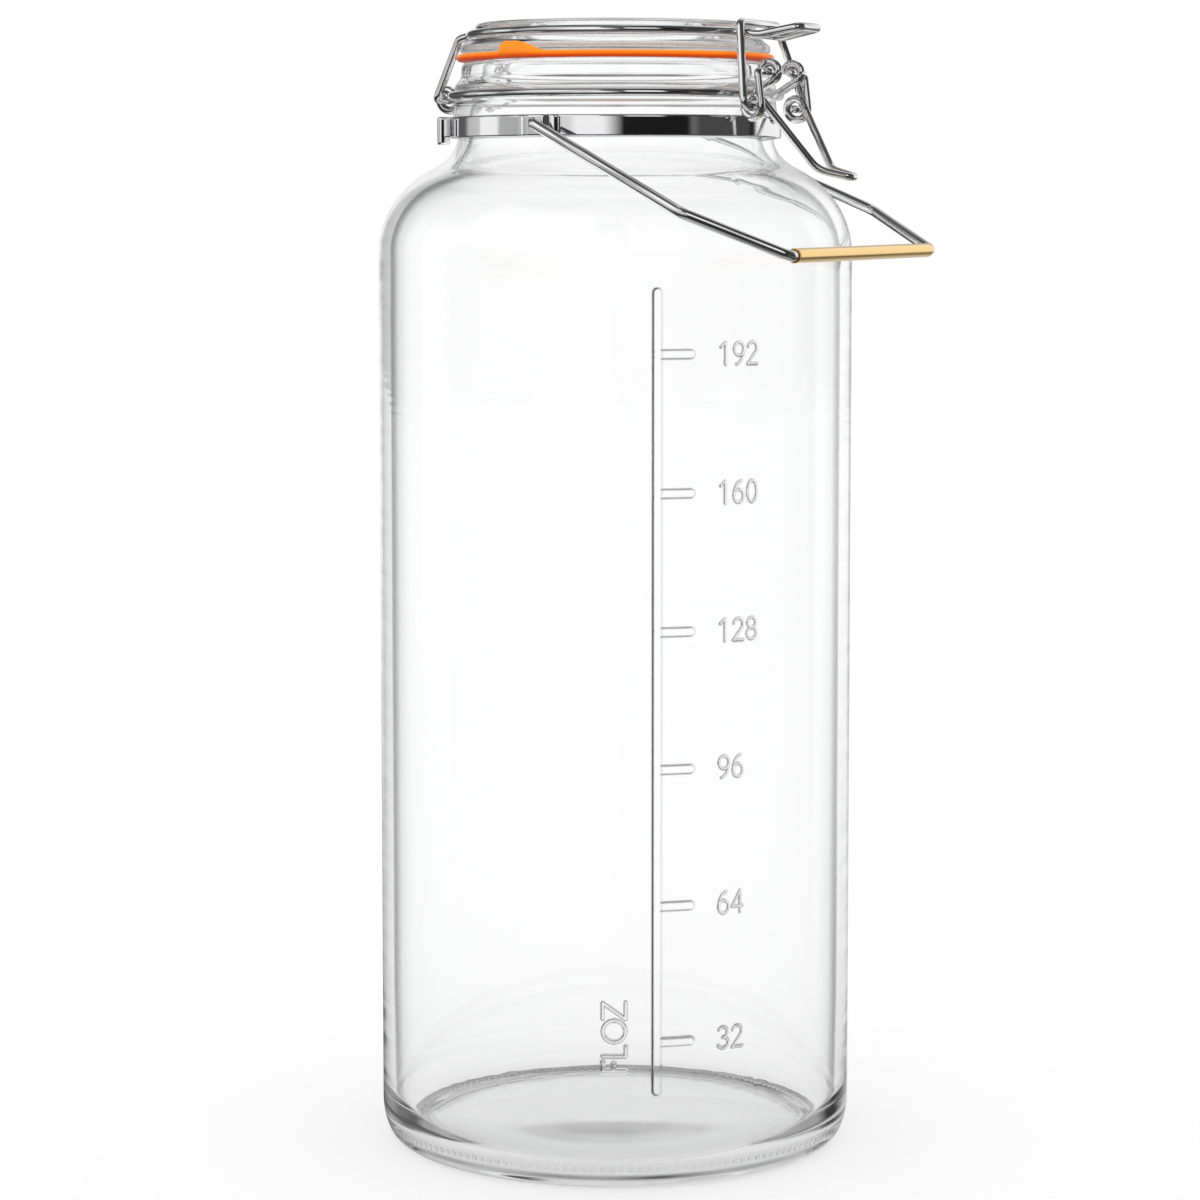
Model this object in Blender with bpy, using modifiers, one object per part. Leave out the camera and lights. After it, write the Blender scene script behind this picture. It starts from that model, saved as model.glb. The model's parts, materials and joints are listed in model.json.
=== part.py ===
"""Clip-top glass storage jar with a wire clamp and a swinging carry handle.

The jar stands on Z = 0 with its axis on Z. The clamp is at +X, the lid's hinge
at -X, and the handle turns on a line along Y. All lengths are in metres.
"""

import math

import bmesh
import bpy
from mathutils import Matrix, Vector

# Pressed glass body
BODY_RADIUS = 0.0842
BODY_WALL = 0.0040
FLOOR_THICKNESS = 0.0080
FLOOR_CORNER = 0.0090
FOOT_INSET = 0.0055
FOOT_RISE = 0.0090
STRAIGHT_HEIGHT = 0.3180
SHOULDER_RISE = 0.0340
SHOULDER_ROOT_ANGLE = 62.0
SHOULDER_ROOT_RISE = 0.0060

# Raised filling scale on the wall
MARK_SPACING = 0.04676
FIRST_MARK_HEIGHT = 0.0519
MARK_LENGTH = 0.0131
MARK_WIDTH = 0.0029
MARK_RELIEF = 0.0006
MARK_SINK = 0.0010
SCALE_BAR_WIDTH = 0.0030
SCALE_BAR_FOOT = 0.0182
SCALE_BAR_TOP_MARGIN = 0.0102
SCALE_ANGLE = -54.4

# Neck, from the shoulder's root up to the lip, with a grooved bead for the neck wire
NECK_RADIUS = 0.0546
NECK_WALL = 0.0074
NECK_HEIGHT = 0.0273
NECK_ROOT_FLARE = 0.0012
LIP_ROUND = 0.0007
GROOVE_STEP = 0.0020
GROOVE_HALF_WIDTH = 0.0014
GROOVE_DEPTH = 0.0006
BEAD_OFFSET = 0.0024
BEAD_SPAN = 0.0020
BAND_SEAT_STEP = 0.0013
BAND_SEAT_MARGIN = 0.0003

# Seal and lid
GASKET_LAP = 0.0010
GASKET_OVERHANG = 0.0019
GASKET_THICKNESS = 0.0024
TAB_LENGTH = 0.0190
TAB_RISE = 0.0040
TAB_THICKNESS = 0.0022
TAB_LAP = 0.0012
TAB_ANGLE = -101.0
LID_OVERHANG = 0.0004
LID_FLANGE_EDGE = 0.0026
LID_FLANGE_WIDTH = 0.0052
LID_SEAT_HEIGHT = 0.0049
LID_SEAT_WIDTH = 0.0020
LID_RIM_RISE = 0.0058
LID_RIM_WIDTH = 0.0045
LID_RIM_ROUND = 0.0012
LID_PANEL_DROP = 0.0038
LID_PANEL_THICKNESS = 0.0055
PLUG_CLEARANCE = 0.0026
PLUG_DEPTH = 0.0058
PLUG_WIDTH = 0.0050

# Clamp and hinge wires
FRAME_WIRE_RADIUS = 0.0015
CLAMP_WIRE_RADIUS = 0.0014
RUNNING_GAP = 0.0003
EYE_CLEARANCE = 0.00035
NECK_RING_RISE = 0.0155
NECK_RING_FIRST_ANGLE = 15.0
NECK_RING_LAST_ANGLE = 166.5
NECK_CORNER_IN = 0.0009
FRONT_CORNER_SIDE = 0.0006
BACK_CORNER_SIDE = 0.0012
LEVER_PIVOT_OUT = 0.0056
LEVER_PIVOT_RISE = 0.0075
EYE_OFFSET = 0.0100
EYE_WRAP_ANGLE = 245.0
COIL_OUT = 0.0035
COIL_DROP = 0.0048
COIL_CLEARANCE = 0.0008
LEVER_PIN_INNER = 0.0072
LEVER_LEG_OFFSET = 0.0205
LEVER_COIL_STEP = 0.0033
LEVER_ELBOW_OUT = 0.0222
LEVER_ELBOW_DROP = 0.0261
LEVER_ELBOW_OFFSET = 0.0066
LEVER_ELBOW_BEND = 0.0090
LEVER_TIP_OUT = 0.0324
LEVER_TIP_DROP = 0.0286
LEVER_TIP_OFFSET = 0.0024
LEVER_TIP_BEND_SHARE = 0.9
BAIL_FOOT_OFFSET = 0.0272
BAIL_HEAD_OFFSET = 0.0160
BAIL_HEAD_OUT = 0.0038
BAIL_HEAD_CLEARANCE = 0.0006
BAIL_PIN_INNER = 0.0156
WIRE_BEND = 0.0024
TIGHT_BEND = 0.0019

# Ring of the lid wire, and the thumb tongue bent out of it
LID_RING_FIRST_ANGLE = 22.5
LID_RING_LAST_ANGLE = 153.0
TONGUE_ROOT_OFFSET = 0.0124
TONGUE_ROOT_IN = 0.0010
TONGUE_DIP_OUT = 0.0087
TONGUE_DIP = 0.0013
TONGUE_DIP_OFFSET = 0.0108
TONGUE_TIP_OUT = 0.0228
TONGUE_TIP_RISE = 0.0014
TONGUE_TIP_OFFSET = 0.0085
TONGUE_BEND = 0.0036

# Hinge at the back
HINGE_OUT = 0.0040
HINGE_DROP = 0.0009
HINGE_COIL_OFFSET = 0.0088
HINGE_COIL_STEP = 0.0032
HINGE_RETURN_OFFSET = 0.0052
HINGE_CLEARANCE = 0.0006
HINGE_LEG_OFFSET = 0.0180
HINGE_PIN_END = 0.0042
HINGE_ROOT_IN = 0.0028
HINGE_SHOULDER_OUT = 0.0016
HINGE_SHOULDER_DROP = 0.0012

# Handle band, its brackets and its clasp
BAND_THICKNESS = 0.0008
BAND_HEIGHT = 0.0074
BAND_RISE = 0.0006
BAND_EAR = 0.0036
BAND_EAR_GAP = 0.0008
CLASP_ANGLE = -143.0
CLASP_THICKNESS = 0.0009
CLASP_DROP = 0.0024
BRACKET_WIDTH = 0.0150
BRACKET_RISE = 0.0022
BRACKET_THICKNESS = 0.0010
BRACKET_FLANGE = 0.0034
BRACKET_SLOPE = 0.0012

# Carry handle
HANDLE_WIRE_RADIUS = 0.0019
HANDLE_PIVOT_DROP = 0.0028
HANDLE_END_INSET = 0.0003
HANDLE_REST_ANGLE = 25.0
GRIP_STANDOFF = 0.01096
HANDLE_BEND_BACK = 0.0335
HANDLE_BEND_OFFSET = 0.0840
HANDLE_GRIP_OFFSET = 0.0650
HANDLE_ROOT_BEND = 0.0021
HANDLE_ELBOW_BEND = 0.0060
HANDLE_CORNER_BEND = 0.0040
GRIP_WALL = 0.0004
GRIP_CLEARANCE = 0.0002
GRIP_END_GAP = 0.0022

# Facets
TURN_STEPS = 48
RING_STEP_ANGLE = 360.0 / TURN_STEPS
BEND_STEPS = 5
MIN_BEND_STEPS = 2
COIL_STEP_ANGLE = 24.0
SHOULDER_STEPS = 8
INNER_SHOULDER_STEPS = 6
CORNER_STEPS = 4
DRILL_STEPS = 24
WIRE_RESOLUTION = 2
MERGE_DISTANCE = 0.00001

# Radii that follow from the neck's
MOUTH_RADIUS = NECK_RADIUS - NECK_WALL
NECK_ROOT_RADIUS = NECK_RADIUS + NECK_ROOT_FLARE
GROOVE_RADIUS = NECK_RADIUS + GROOVE_STEP
BEAD_RADIUS = GROOVE_RADIUS + GROOVE_DEPTH
BAND_SEAT_RADIUS = GROOVE_RADIUS + BAND_SEAT_STEP
GASKET_INNER_RADIUS = MOUTH_RADIUS - GASKET_LAP
GASKET_RADIUS = NECK_RADIUS + GASKET_OVERHANG
LID_FLANGE_RADIUS = NECK_RADIUS + LID_OVERHANG
LID_RIM_RADIUS = LID_FLANGE_RADIUS - LID_FLANGE_WIDTH
LID_SEAT_RADIUS = LID_RIM_RADIUS + LID_SEAT_WIDTH
PLUG_RADIUS = MOUTH_RADIUS - PLUG_CLEARANCE

# Levels and radii of the wires and the band, which more than one piece uses
NECK_ROOT_HEIGHT = STRAIGHT_HEIGHT + SHOULDER_RISE + SHOULDER_ROOT_RISE
LIP_HEIGHT = NECK_ROOT_HEIGHT + NECK_HEIGHT
GASKET_BOTTOM = LIP_HEIGHT + RUNNING_GAP
GASKET_TOP = GASKET_BOTTOM + GASKET_THICKNESS
LID_BOTTOM = GASKET_TOP + RUNNING_GAP
LID_SEAT_LEVEL = LID_BOTTOM + LID_SEAT_HEIGHT
NECK_RING_HEIGHT = NECK_ROOT_HEIGHT + NECK_RING_RISE
NECK_RING_RADIUS = GROOVE_RADIUS + RUNNING_GAP + FRAME_WIRE_RADIUS
LID_RING_HEIGHT = LID_SEAT_LEVEL + RUNNING_GAP + FRAME_WIRE_RADIUS
LID_RING_RADIUS = LID_RIM_RADIUS + RUNNING_GAP + FRAME_WIRE_RADIUS
BAND_BOTTOM = NECK_ROOT_HEIGHT + BAND_RISE
BAND_TOP = BAND_BOTTOM + BAND_HEIGHT
BAND_INNER_RADIUS = BAND_SEAT_RADIUS + RUNNING_GAP
BAND_OUTER_RADIUS = BAND_INNER_RADIUS + BAND_THICKNESS

# Axes of the joints, as points in the plane Y = 0
LEVER_PIVOT = Vector((NECK_RING_RADIUS + LEVER_PIVOT_OUT, 0, NECK_RING_HEIGHT + LEVER_PIVOT_RISE))
BAIL_PIVOT = Vector((NECK_RING_RADIUS + COIL_OUT, 0, NECK_RING_HEIGHT - COIL_DROP))
HINGE_PIVOT = Vector((-NECK_RING_RADIUS - HINGE_OUT, 0, NECK_RING_HEIGHT - HINGE_DROP))
HANDLE_PIVOT = Vector((0, 0, BAND_TOP - HANDLE_PIVOT_DROP))

# The handle's reach holds its grip clear of the wall
HANDLE_REACH = (BODY_RADIUS + GRIP_STANDOFF) / math.cos(math.radians(HANDLE_REST_ANGLE))


def clear_scene():
    """Removes the default objects, so that the jar stands alone."""
    for scene_object in list(bpy.data.objects):
        bpy.data.objects.remove(scene_object, do_unlink=True)


def new_collection(name):
    """A collection linked to the scene."""
    group = bpy.data.collections.new(name)
    bpy.context.scene.collection.children.link(group)
    return group


clear_scene()
jar_parts = new_collection("clip_top_jar")
cutters = new_collection("cutters")


def finish(name, colour, roughness, metallic, transmission=0.0):
    """A Principled material."""
    made = bpy.data.materials.new(name)
    made.use_nodes = True
    shader = made.node_tree.nodes["Principled BSDF"]
    shader.inputs["Base Color"].default_value = (*colour, 1.0)
    shader.inputs["Roughness"].default_value = roughness
    shader.inputs["Metallic"].default_value = metallic
    shader.inputs["Transmission Weight"].default_value = transmission
    made.diffuse_color = (*colour, 1.0)
    return made


def new_object(name, data, material, group=jar_parts):
    """An object in the given collection, with its material."""
    made = bpy.data.objects.new(name, data)
    if material is not None:
        data.materials.append(material)
    group.objects.link(made)
    return made


def mark_cutter(cutter):
    """Leaves a helper shape out of the finished jar."""
    cutter.hide_render = True
    cutter.display_type = "WIRE"


def turned(name, profile, material, closed=True):
    """A turned piece. The profile is (radius, height) points that run down its outer side."""
    mesh = bpy.data.meshes.new(name)
    corners = [(radius, 0, height) for radius, height in profile]
    edges = [(i, i + 1) for i in range(len(corners) - 1)]
    if closed:
        edges.append((len(corners) - 1, 0))
    mesh.from_pydata(corners, edges, [])
    piece = new_object(name, mesh, material)
    screw = piece.modifiers.new("turn", "SCREW")
    screw.axis = "Z"
    screw.steps = TURN_STEPS
    screw.render_steps = TURN_STEPS
    screw.use_merge_vertices = True
    screw.merge_threshold = MERGE_DISTANCE
    screw.use_smooth_shade = True
    return piece


def wire(name, points, radius, material):
    """A bent wire along the points, with round section and filled ends."""
    curve = bpy.data.curves.new(name, "CURVE")
    curve.dimensions = "3D"
    curve.bevel_depth = radius
    curve.bevel_resolution = WIRE_RESOLUTION
    curve.use_fill_caps = True
    spline = curve.splines.new("POLY")
    spline.points.add(len(points) - 1)
    for knot, point in zip(spline.points, points):
        knot.co = (*point, 1.0)
    return new_object(name, curve, material)


def sheet(name, outline, bottom, top, material, group=jar_parts):
    """A flat outline in the XY plane, raised between two heights."""
    curve = bpy.data.curves.new(name, "CURVE")
    curve.dimensions = "2D"
    curve.fill_mode = "BOTH"
    curve.extrude = (top - bottom) / 2
    spline = curve.splines.new("POLY")
    spline.points.add(len(outline) - 1)
    for knot, point in zip(spline.points, outline):
        knot.co = (point[0], point[1], 0, 1.0)
    spline.use_cyclic_u = True
    piece = new_object(name, curve, material, group)
    piece.location.z = (top + bottom) / 2
    return piece


def meshed(piece, material, group=jar_parts):
    """Turns a curve object into a mesh object, so that it can be cut."""
    bpy.context.view_layer.update()
    evaluated = piece.evaluated_get(bpy.context.evaluated_depsgraph_get())
    mesh = bpy.data.meshes.new_from_object(evaluated)
    welded = bmesh.new()
    welded.from_mesh(mesh)
    bmesh.ops.remove_doubles(welded, verts=welded.verts, dist=MERGE_DISTANCE)
    bmesh.ops.recalc_face_normals(welded, faces=welded.faces)
    welded.to_mesh(mesh)
    welded.free()
    mesh.materials.clear()
    name, place = piece.name, piece.matrix_world.copy()
    bpy.data.objects.remove(piece, do_unlink=True)
    solid = new_object(name, mesh, material, group)
    solid.matrix_world = place
    return solid


def block(name, centre, size, angle, material, group):
    """A box turned about Z by an angle in degrees, centred on a point."""
    mesh = bpy.data.meshes.new(name)
    cube = bmesh.new()
    bmesh.ops.create_cube(cube, size=1.0, matrix=Matrix.Diagonal((*size, 1.0)))
    cube.to_mesh(mesh)
    cube.free()
    piece = new_object(name, mesh, material, group)
    piece.matrix_world = Matrix.Translation(centre) @ Matrix.Rotation(math.radians(angle), 4, "Z")
    return piece


def boolean(piece, tool, operation):
    """Adds a live Boolean with a helper shape."""
    step = piece.modifiers.new(tool.name, "BOOLEAN")
    step.operation = operation
    step.object = tool
    mark_cutter(tool)


def pivot(name, place):
    """An empty on a joint's axis, which carries the pieces that turn there."""
    empty = bpy.data.objects.new(name, None)
    empty.location = place
    jar_parts.objects.link(empty)
    return empty


def hang_on(empty, *pieces):
    """Parents pieces to a pivot without moving them."""
    for piece in pieces:
        piece.parent = empty
        piece.location = piece.location - empty.location


def polar(radius, angle, height):
    """A point at an angle in degrees about the jar's axis."""
    turn = math.radians(angle)
    return Vector((radius * math.cos(turn), radius * math.sin(turn), height))


def ring_arc(radius, height, first, last):
    """Points of a level ring between two angles, a facet of the turned pieces apart."""
    count = math.ceil((last - first) / RING_STEP_ANGLE)
    return [polar(radius, first + (last - first) * i / count, height) for i in range(count + 1)]


def rounded(points, radii):
    """Replaces each inner corner of a path by an arc of the radius given for it."""
    path = [points[0]]
    for before, corner, after, radius in zip(points, points[1:], points[2:], radii):
        to_before = (before - corner).normalized()
        to_after = (after - corner).normalized()
        half = to_before.angle(to_after) / 2
        reach = radius / math.tan(half)
        centre = corner + (to_before + to_after).normalized() * (radius / math.sin(half))
        start = corner + to_before * reach - centre
        end = corner + to_after * reach - centre
        sweep = start.angle(end)
        steps = max(MIN_BEND_STEPS, math.ceil(BEND_STEPS * sweep / (math.pi / 2)))
        for i in range(steps + 1):
            share = i / steps
            arm = start * math.sin((1 - share) * sweep) + end * math.sin(share * sweep)
            path.append(centre + arm / math.sin(sweep))
    path.append(points[-1])
    return path


def mirrored(points):
    """The same path on the other side of the plane Y = 0, in the opposite order."""
    return [Vector((point.x, -point.y, point.z)) for point in reversed(points)]


def coil(centre, radius, first, last, first_offset, last_offset):
    """A helix about an axis along Y, between two angles in degrees and two offsets."""
    path = []
    steps = math.ceil(abs(last - first) / COIL_STEP_ANGLE)
    for i in range(steps + 1):
        share = i / steps
        turn = math.radians(first + (last - first) * share)
        offset = first_offset + (last_offset - first_offset) * share
        path.append(Vector((centre.x + radius * math.cos(turn), offset,
                            centre.z + radius * math.sin(turn))))
    return path


def tangent_angle(centre, radius, outside, side):
    """Angle at which a straight wire from a point outside touches a coil, in degrees."""
    away = Vector((outside.x - centre.x, outside.z - centre.z))
    bearing = math.atan2(away.y, away.x)
    return math.degrees(bearing + side * math.acos(radius / away.length))


glass = finish("clear_glass", (0.90, 0.93, 0.94), 0.03, 0.0, 1.0)
steel = finish("bright_steel", (0.62, 0.62, 0.64), 0.16, 1.0)
band_steel = finish("polished_band_steel", (0.72, 0.72, 0.74), 0.08, 1.0)
orange_rubber = finish("orange_rubber", (0.95, 0.19, 0.02), 0.45, 0.0)
brass = finish("polished_brass", (0.83, 0.60, 0.26), 0.18, 1.0)


def ellipse_arc(centre_radius, centre_height, wide, tall, first, last, steps):
    """Profile points on an ellipse between two angles in degrees."""
    turns = [math.radians(first + (last - first) * i / steps) for i in range(steps + 1)]
    return [(centre_radius + wide * math.cos(a), centre_height + tall * math.sin(a)) for a in turns]


def blend_curve(start, pull, end, steps):
    """Profile points on a smooth bend from one point to another, drawn towards a third."""
    shares = [i / steps for i in range(steps + 1)]
    return [tuple((1 - s) ** 2 * a + 2 * (1 - s) * s * b + s ** 2 * c
                  for a, b, c in zip(start, pull, end)) for s in shares]


def body_profile():
    """The glass section: floor and inner wall upwards, lip, then the outer side down."""
    inner = BODY_RADIUS - BODY_WALL
    depth = BODY_RADIUS - MOUTH_RADIUS
    shoulder = ellipse_arc(MOUTH_RADIUS, STRAIGHT_HEIGHT, depth, SHOULDER_RISE,
                           SHOULDER_ROOT_ANGLE, 0.0, SHOULDER_STEPS)
    neck_root = (NECK_ROOT_RADIUS, NECK_ROOT_HEIGHT)
    root_pull = (NECK_ROOT_RADIUS, STRAIGHT_HEIGHT + SHOULDER_RISE)
    inner_shoulder = ellipse_arc(MOUTH_RADIUS, STRAIGHT_HEIGHT, depth - BODY_WALL,
                                 SHOULDER_RISE - BODY_WALL, 0.0, SHOULDER_ROOT_ANGLE,
                                 INNER_SHOULDER_STEPS)
    inner_root = (MOUTH_RADIUS, NECK_ROOT_HEIGHT)
    inner_pull = (MOUTH_RADIUS, STRAIGHT_HEIGHT + SHOULDER_RISE - BODY_WALL)
    floor_corner = ellipse_arc(inner - FLOOR_CORNER, FLOOR_THICKNESS + FLOOR_CORNER,
                               FLOOR_CORNER, FLOOR_CORNER, -90.0, 0.0, CORNER_STEPS)
    foot = ellipse_arc(BODY_RADIUS - FOOT_INSET, FOOT_RISE, FOOT_INSET, FOOT_RISE,
                       0.0, -90.0, CORNER_STEPS)
    neck = [
        (MOUTH_RADIUS, LIP_HEIGHT - LIP_ROUND),
        (MOUTH_RADIUS + LIP_ROUND, LIP_HEIGHT),
        (NECK_RADIUS - LIP_ROUND, LIP_HEIGHT),
        (NECK_RADIUS, LIP_HEIGHT - LIP_ROUND),
        (NECK_RADIUS, NECK_RING_HEIGHT + BEAD_OFFSET + BEAD_SPAN),
        (BEAD_RADIUS, NECK_RING_HEIGHT + BEAD_OFFSET),
        (GROOVE_RADIUS, NECK_RING_HEIGHT + GROOVE_HALF_WIDTH),
        (GROOVE_RADIUS, NECK_RING_HEIGHT - GROOVE_HALF_WIDTH),
        (BEAD_RADIUS, NECK_RING_HEIGHT - BEAD_OFFSET),
        (BAND_SEAT_RADIUS, BAND_TOP + BAND_SEAT_MARGIN),
        (BAND_SEAT_RADIUS, BAND_BOTTOM - BAND_SEAT_MARGIN),
    ]
    return ([(0, FLOOR_THICKNESS)] + floor_corner + inner_shoulder
            + blend_curve(inner_shoulder[-1], inner_pull, inner_root, CORNER_STEPS)[1:]
            + neck + blend_curve(neck_root, root_pull, shoulder[0], CORNER_STEPS)
            + shoulder[1:] + foot + [(0, 0)])


# The body with its raised scale: an upright bar and one tick for each filling mark
jar_body = turned("jar_body", body_profile(), glass, closed=False)
mark_count = int((STRAIGHT_HEIGHT - FIRST_MARK_HEIGHT) / MARK_SPACING) + 1
bar_bottom = FIRST_MARK_HEIGHT - SCALE_BAR_FOOT
bar_top = STRAIGHT_HEIGHT - SCALE_BAR_TOP_MARGIN
relief_centre = BODY_RADIUS + (MARK_RELIEF - MARK_SINK) / 2
relief_depth = MARK_RELIEF + MARK_SINK
scale_bar = block("scale_bar", polar(relief_centre, SCALE_ANGLE, (bar_bottom + bar_top) / 2),
                  (relief_depth, SCALE_BAR_WIDTH, bar_top - bar_bottom), SCALE_ANGLE, None, cutters)
boolean(jar_body, scale_bar, "UNION")
tick_angle = SCALE_ANGLE + math.degrees(MARK_LENGTH / (2 * BODY_RADIUS))
for mark in range(mark_count):
    tick = block(f"tick_{mark + 1}",
                 polar(relief_centre, tick_angle, FIRST_MARK_HEIGHT + MARK_SPACING * mark),
                 (relief_depth, MARK_LENGTH, MARK_WIDTH), tick_angle, None, cutters)
    boolean(jar_body, tick, "UNION")


def lid_profile():
    """The pressed glass lid: panel, rim, wire seat and flange, then the plug underneath."""
    top = LID_SEAT_LEVEL + LID_RIM_RISE
    panel = top - LID_PANEL_DROP
    rim_inner = LID_RIM_RADIUS - LID_RIM_WIDTH
    underside = panel - LID_PANEL_THICKNESS
    plug_bottom = LID_BOTTOM - PLUG_DEPTH
    plug_inner = PLUG_RADIUS - PLUG_WIDTH
    return [
        (0, panel),
        (rim_inner - 2 * LID_RIM_ROUND, panel),
        (rim_inner, top - LID_RIM_ROUND),
        (rim_inner + LID_RIM_ROUND, top),
        (LID_RIM_RADIUS - LID_RIM_ROUND, top),
        (LID_RIM_RADIUS, top - LID_RIM_ROUND),
        (LID_RIM_RADIUS, LID_SEAT_LEVEL),
        (LID_SEAT_RADIUS, LID_SEAT_LEVEL),
        (LID_FLANGE_RADIUS, LID_BOTTOM + LID_FLANGE_EDGE),
        (LID_FLANGE_RADIUS, LID_BOTTOM),
        (PLUG_RADIUS, LID_BOTTOM),
        (PLUG_RADIUS - LID_RIM_ROUND, plug_bottom + LID_RIM_ROUND),
        (PLUG_RADIUS - 2 * LID_RIM_ROUND, plug_bottom),
        (plug_inner, plug_bottom + LID_RIM_ROUND),
        (plug_inner - LID_RIM_ROUND, underside),
        (0, underside),
    ]


jar_lid = turned("jar_lid", lid_profile(), glass, closed=False)

# The seal ring, with the tab that is pulled to break the seal
lid_gasket = turned("lid_gasket", [
    (GASKET_RADIUS, GASKET_TOP),
    (GASKET_RADIUS, GASKET_BOTTOM),
    (GASKET_INNER_RADIUS, GASKET_BOTTOM),
    (GASKET_INNER_RADIUS, GASKET_TOP),
], orange_rubber)
tab_height = GASKET_THICKNESS / 2 + TAB_RISE
pull_tab = block("pull_tab",
                 polar(GASKET_RADIUS - TAB_LAP + TAB_THICKNESS / 2, TAB_ANGLE,
                       GASKET_BOTTOM + GASKET_THICKNESS / 2 + TAB_RISE / 2),
                 (TAB_THICKNESS, TAB_LENGTH, tab_height), TAB_ANGLE, None, cutters)
boolean(lid_gasket, pull_tab, "UNION")


def neck_wire_half():
    """From the lever's eye round the neck to the middle of the back, on the +Y side."""
    eye_radius = CLAMP_WIRE_RADIUS + EYE_CLEARANCE + FRAME_WIRE_RADIUS
    corner_reach = NECK_RING_RADIUS - NECK_CORNER_IN
    front_corner = Vector((corner_reach, EYE_OFFSET + FRONT_CORNER_SIDE, NECK_RING_HEIGHT))
    eye_start = tangent_angle(LEVER_PIVOT, eye_radius, front_corner, 1)
    eye = coil(LEVER_PIVOT, eye_radius, eye_start + EYE_WRAP_ANGLE, eye_start,
               EYE_OFFSET, EYE_OFFSET)
    hinge_radius = 2 * FRAME_WIRE_RADIUS + HINGE_CLEARANCE
    back_corner = Vector((-corner_reach, HINGE_COIL_OFFSET + BACK_CORNER_SIDE, NECK_RING_HEIGHT))
    return_corner = Vector((-NECK_RING_RADIUS, HINGE_RETURN_OFFSET, NECK_RING_HEIGHT))
    arrive = tangent_angle(HINGE_PIVOT, hinge_radius, back_corner, 1)
    depart = tangent_angle(HINGE_PIVOT, hinge_radius, return_corner, -1) + 360.0
    hinge_coil = coil(HINGE_PIVOT, hinge_radius, arrive, depart,
                      HINGE_COIL_OFFSET + HINGE_COIL_STEP / 2,
                      HINGE_COIL_OFFSET - HINGE_COIL_STEP / 2)
    ring = ring_arc(NECK_RING_RADIUS, NECK_RING_HEIGHT, NECK_RING_FIRST_ANGLE,
                    NECK_RING_LAST_ANGLE)
    into_ring = rounded([eye[-1], front_corner, ring[0], ring[1]], [WIRE_BEND, WIRE_BEND])
    into_coil = rounded([ring[-1], back_corner, hinge_coil[0]], [WIRE_BEND])
    out_of_coil = rounded([hinge_coil[-1], return_corner,
                           polar(NECK_RING_RADIUS, 180.0, NECK_RING_HEIGHT)], [WIRE_BEND])
    return eye[:-1] + into_ring[:-1] + ring[1:-1] + into_coil[:-1] + hinge_coil + out_of_coil[1:]


half = neck_wire_half()
neck_wire = wire("neck_wire", half + mirrored(half)[1:], FRAME_WIRE_RADIUS, steel)


def lid_wire_half():
    """From the hinge pin up the leg, round the lid and out along the thumb tongue, at +Y."""
    leg = HINGE_LEG_OFFSET
    level = LID_RING_HEIGHT
    ring = ring_arc(LID_RING_RADIUS, level, LID_RING_FIRST_ANGLE, LID_RING_LAST_ANGLE)
    hinge_end = [
        Vector((HINGE_PIVOT.x, HINGE_PIN_END, HINGE_PIVOT.z)),
        Vector((HINGE_PIVOT.x, leg, HINGE_PIVOT.z)),
        Vector((-LID_RING_RADIUS - HINGE_SHOULDER_OUT, leg, level - HINGE_SHOULDER_DROP)),
        Vector((-LID_RING_RADIUS + HINGE_ROOT_IN, leg, level)),
        ring[-1],
        ring[-2],
    ]
    hinge_bends = [TIGHT_BEND, WIRE_BEND, WIRE_BEND, WIRE_BEND]
    root = LID_RING_RADIUS - TONGUE_ROOT_IN
    tip = LID_RING_RADIUS + TONGUE_TIP_OUT
    tongue_end = [
        ring[1],
        ring[0],
        Vector((root, TONGUE_ROOT_OFFSET, level)),
        Vector((LID_RING_RADIUS + TONGUE_DIP_OUT, TONGUE_DIP_OFFSET, level - TONGUE_DIP)),
        Vector((tip, TONGUE_TIP_OFFSET, level + TONGUE_TIP_RISE)),
        Vector((tip, 0, level + TONGUE_TIP_RISE)),
    ]
    tongue_bends = [TONGUE_BEND, TONGUE_BEND, 3 * TONGUE_BEND, WIRE_BEND]
    return (rounded(hinge_end, hinge_bends) + list(reversed(ring[2:-2]))
            + rounded(tongue_end, tongue_bends))


half = lid_wire_half()
lid_wire = wire("lid_wire", half + mirrored(half)[1:], FRAME_WIRE_RADIUS, steel)


def lever_half():
    """From the pivot pin down the leg, once round the bail's pin and along the arm, at +Y."""
    coil_radius = 2 * CLAMP_WIRE_RADIUS + COIL_CLEARANCE
    elbow = Vector((NECK_RING_RADIUS + LEVER_ELBOW_OUT, LEVER_ELBOW_OFFSET,
                    NECK_RING_HEIGHT - LEVER_ELBOW_DROP))
    tip_corner = Vector((NECK_RING_RADIUS + LEVER_TIP_OUT, LEVER_TIP_OFFSET,
                         NECK_RING_HEIGHT - LEVER_TIP_DROP))
    leg_top = Vector((LEVER_PIVOT.x, LEVER_LEG_OFFSET, LEVER_PIVOT.z))
    arm_offset = LEVER_LEG_OFFSET - LEVER_COIL_STEP
    coil_first = tangent_angle(BAIL_PIVOT, coil_radius, leg_top, -1)
    coil_last = tangent_angle(BAIL_PIVOT, coil_radius, elbow, 1) - 360.0
    turn = coil(BAIL_PIVOT, coil_radius, coil_first, coil_last, LEVER_LEG_OFFSET, arm_offset)
    pin_end = Vector((LEVER_PIVOT.x, LEVER_PIN_INNER, LEVER_PIVOT.z))
    tip_centre = Vector((tip_corner.x, 0, tip_corner.z))
    return (rounded([pin_end, leg_top, turn[0]], [TIGHT_BEND])[:-1] + turn[:-1]
            + rounded([turn[-1], elbow, tip_corner, tip_centre],
                      [LEVER_ELBOW_BEND, LEVER_TIP_OFFSET * LEVER_TIP_BEND_SHARE]))


half = lever_half()
latch_lever = wire("latch_lever", half + mirrored(half)[1:], CLAMP_WIRE_RADIUS, steel)


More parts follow.
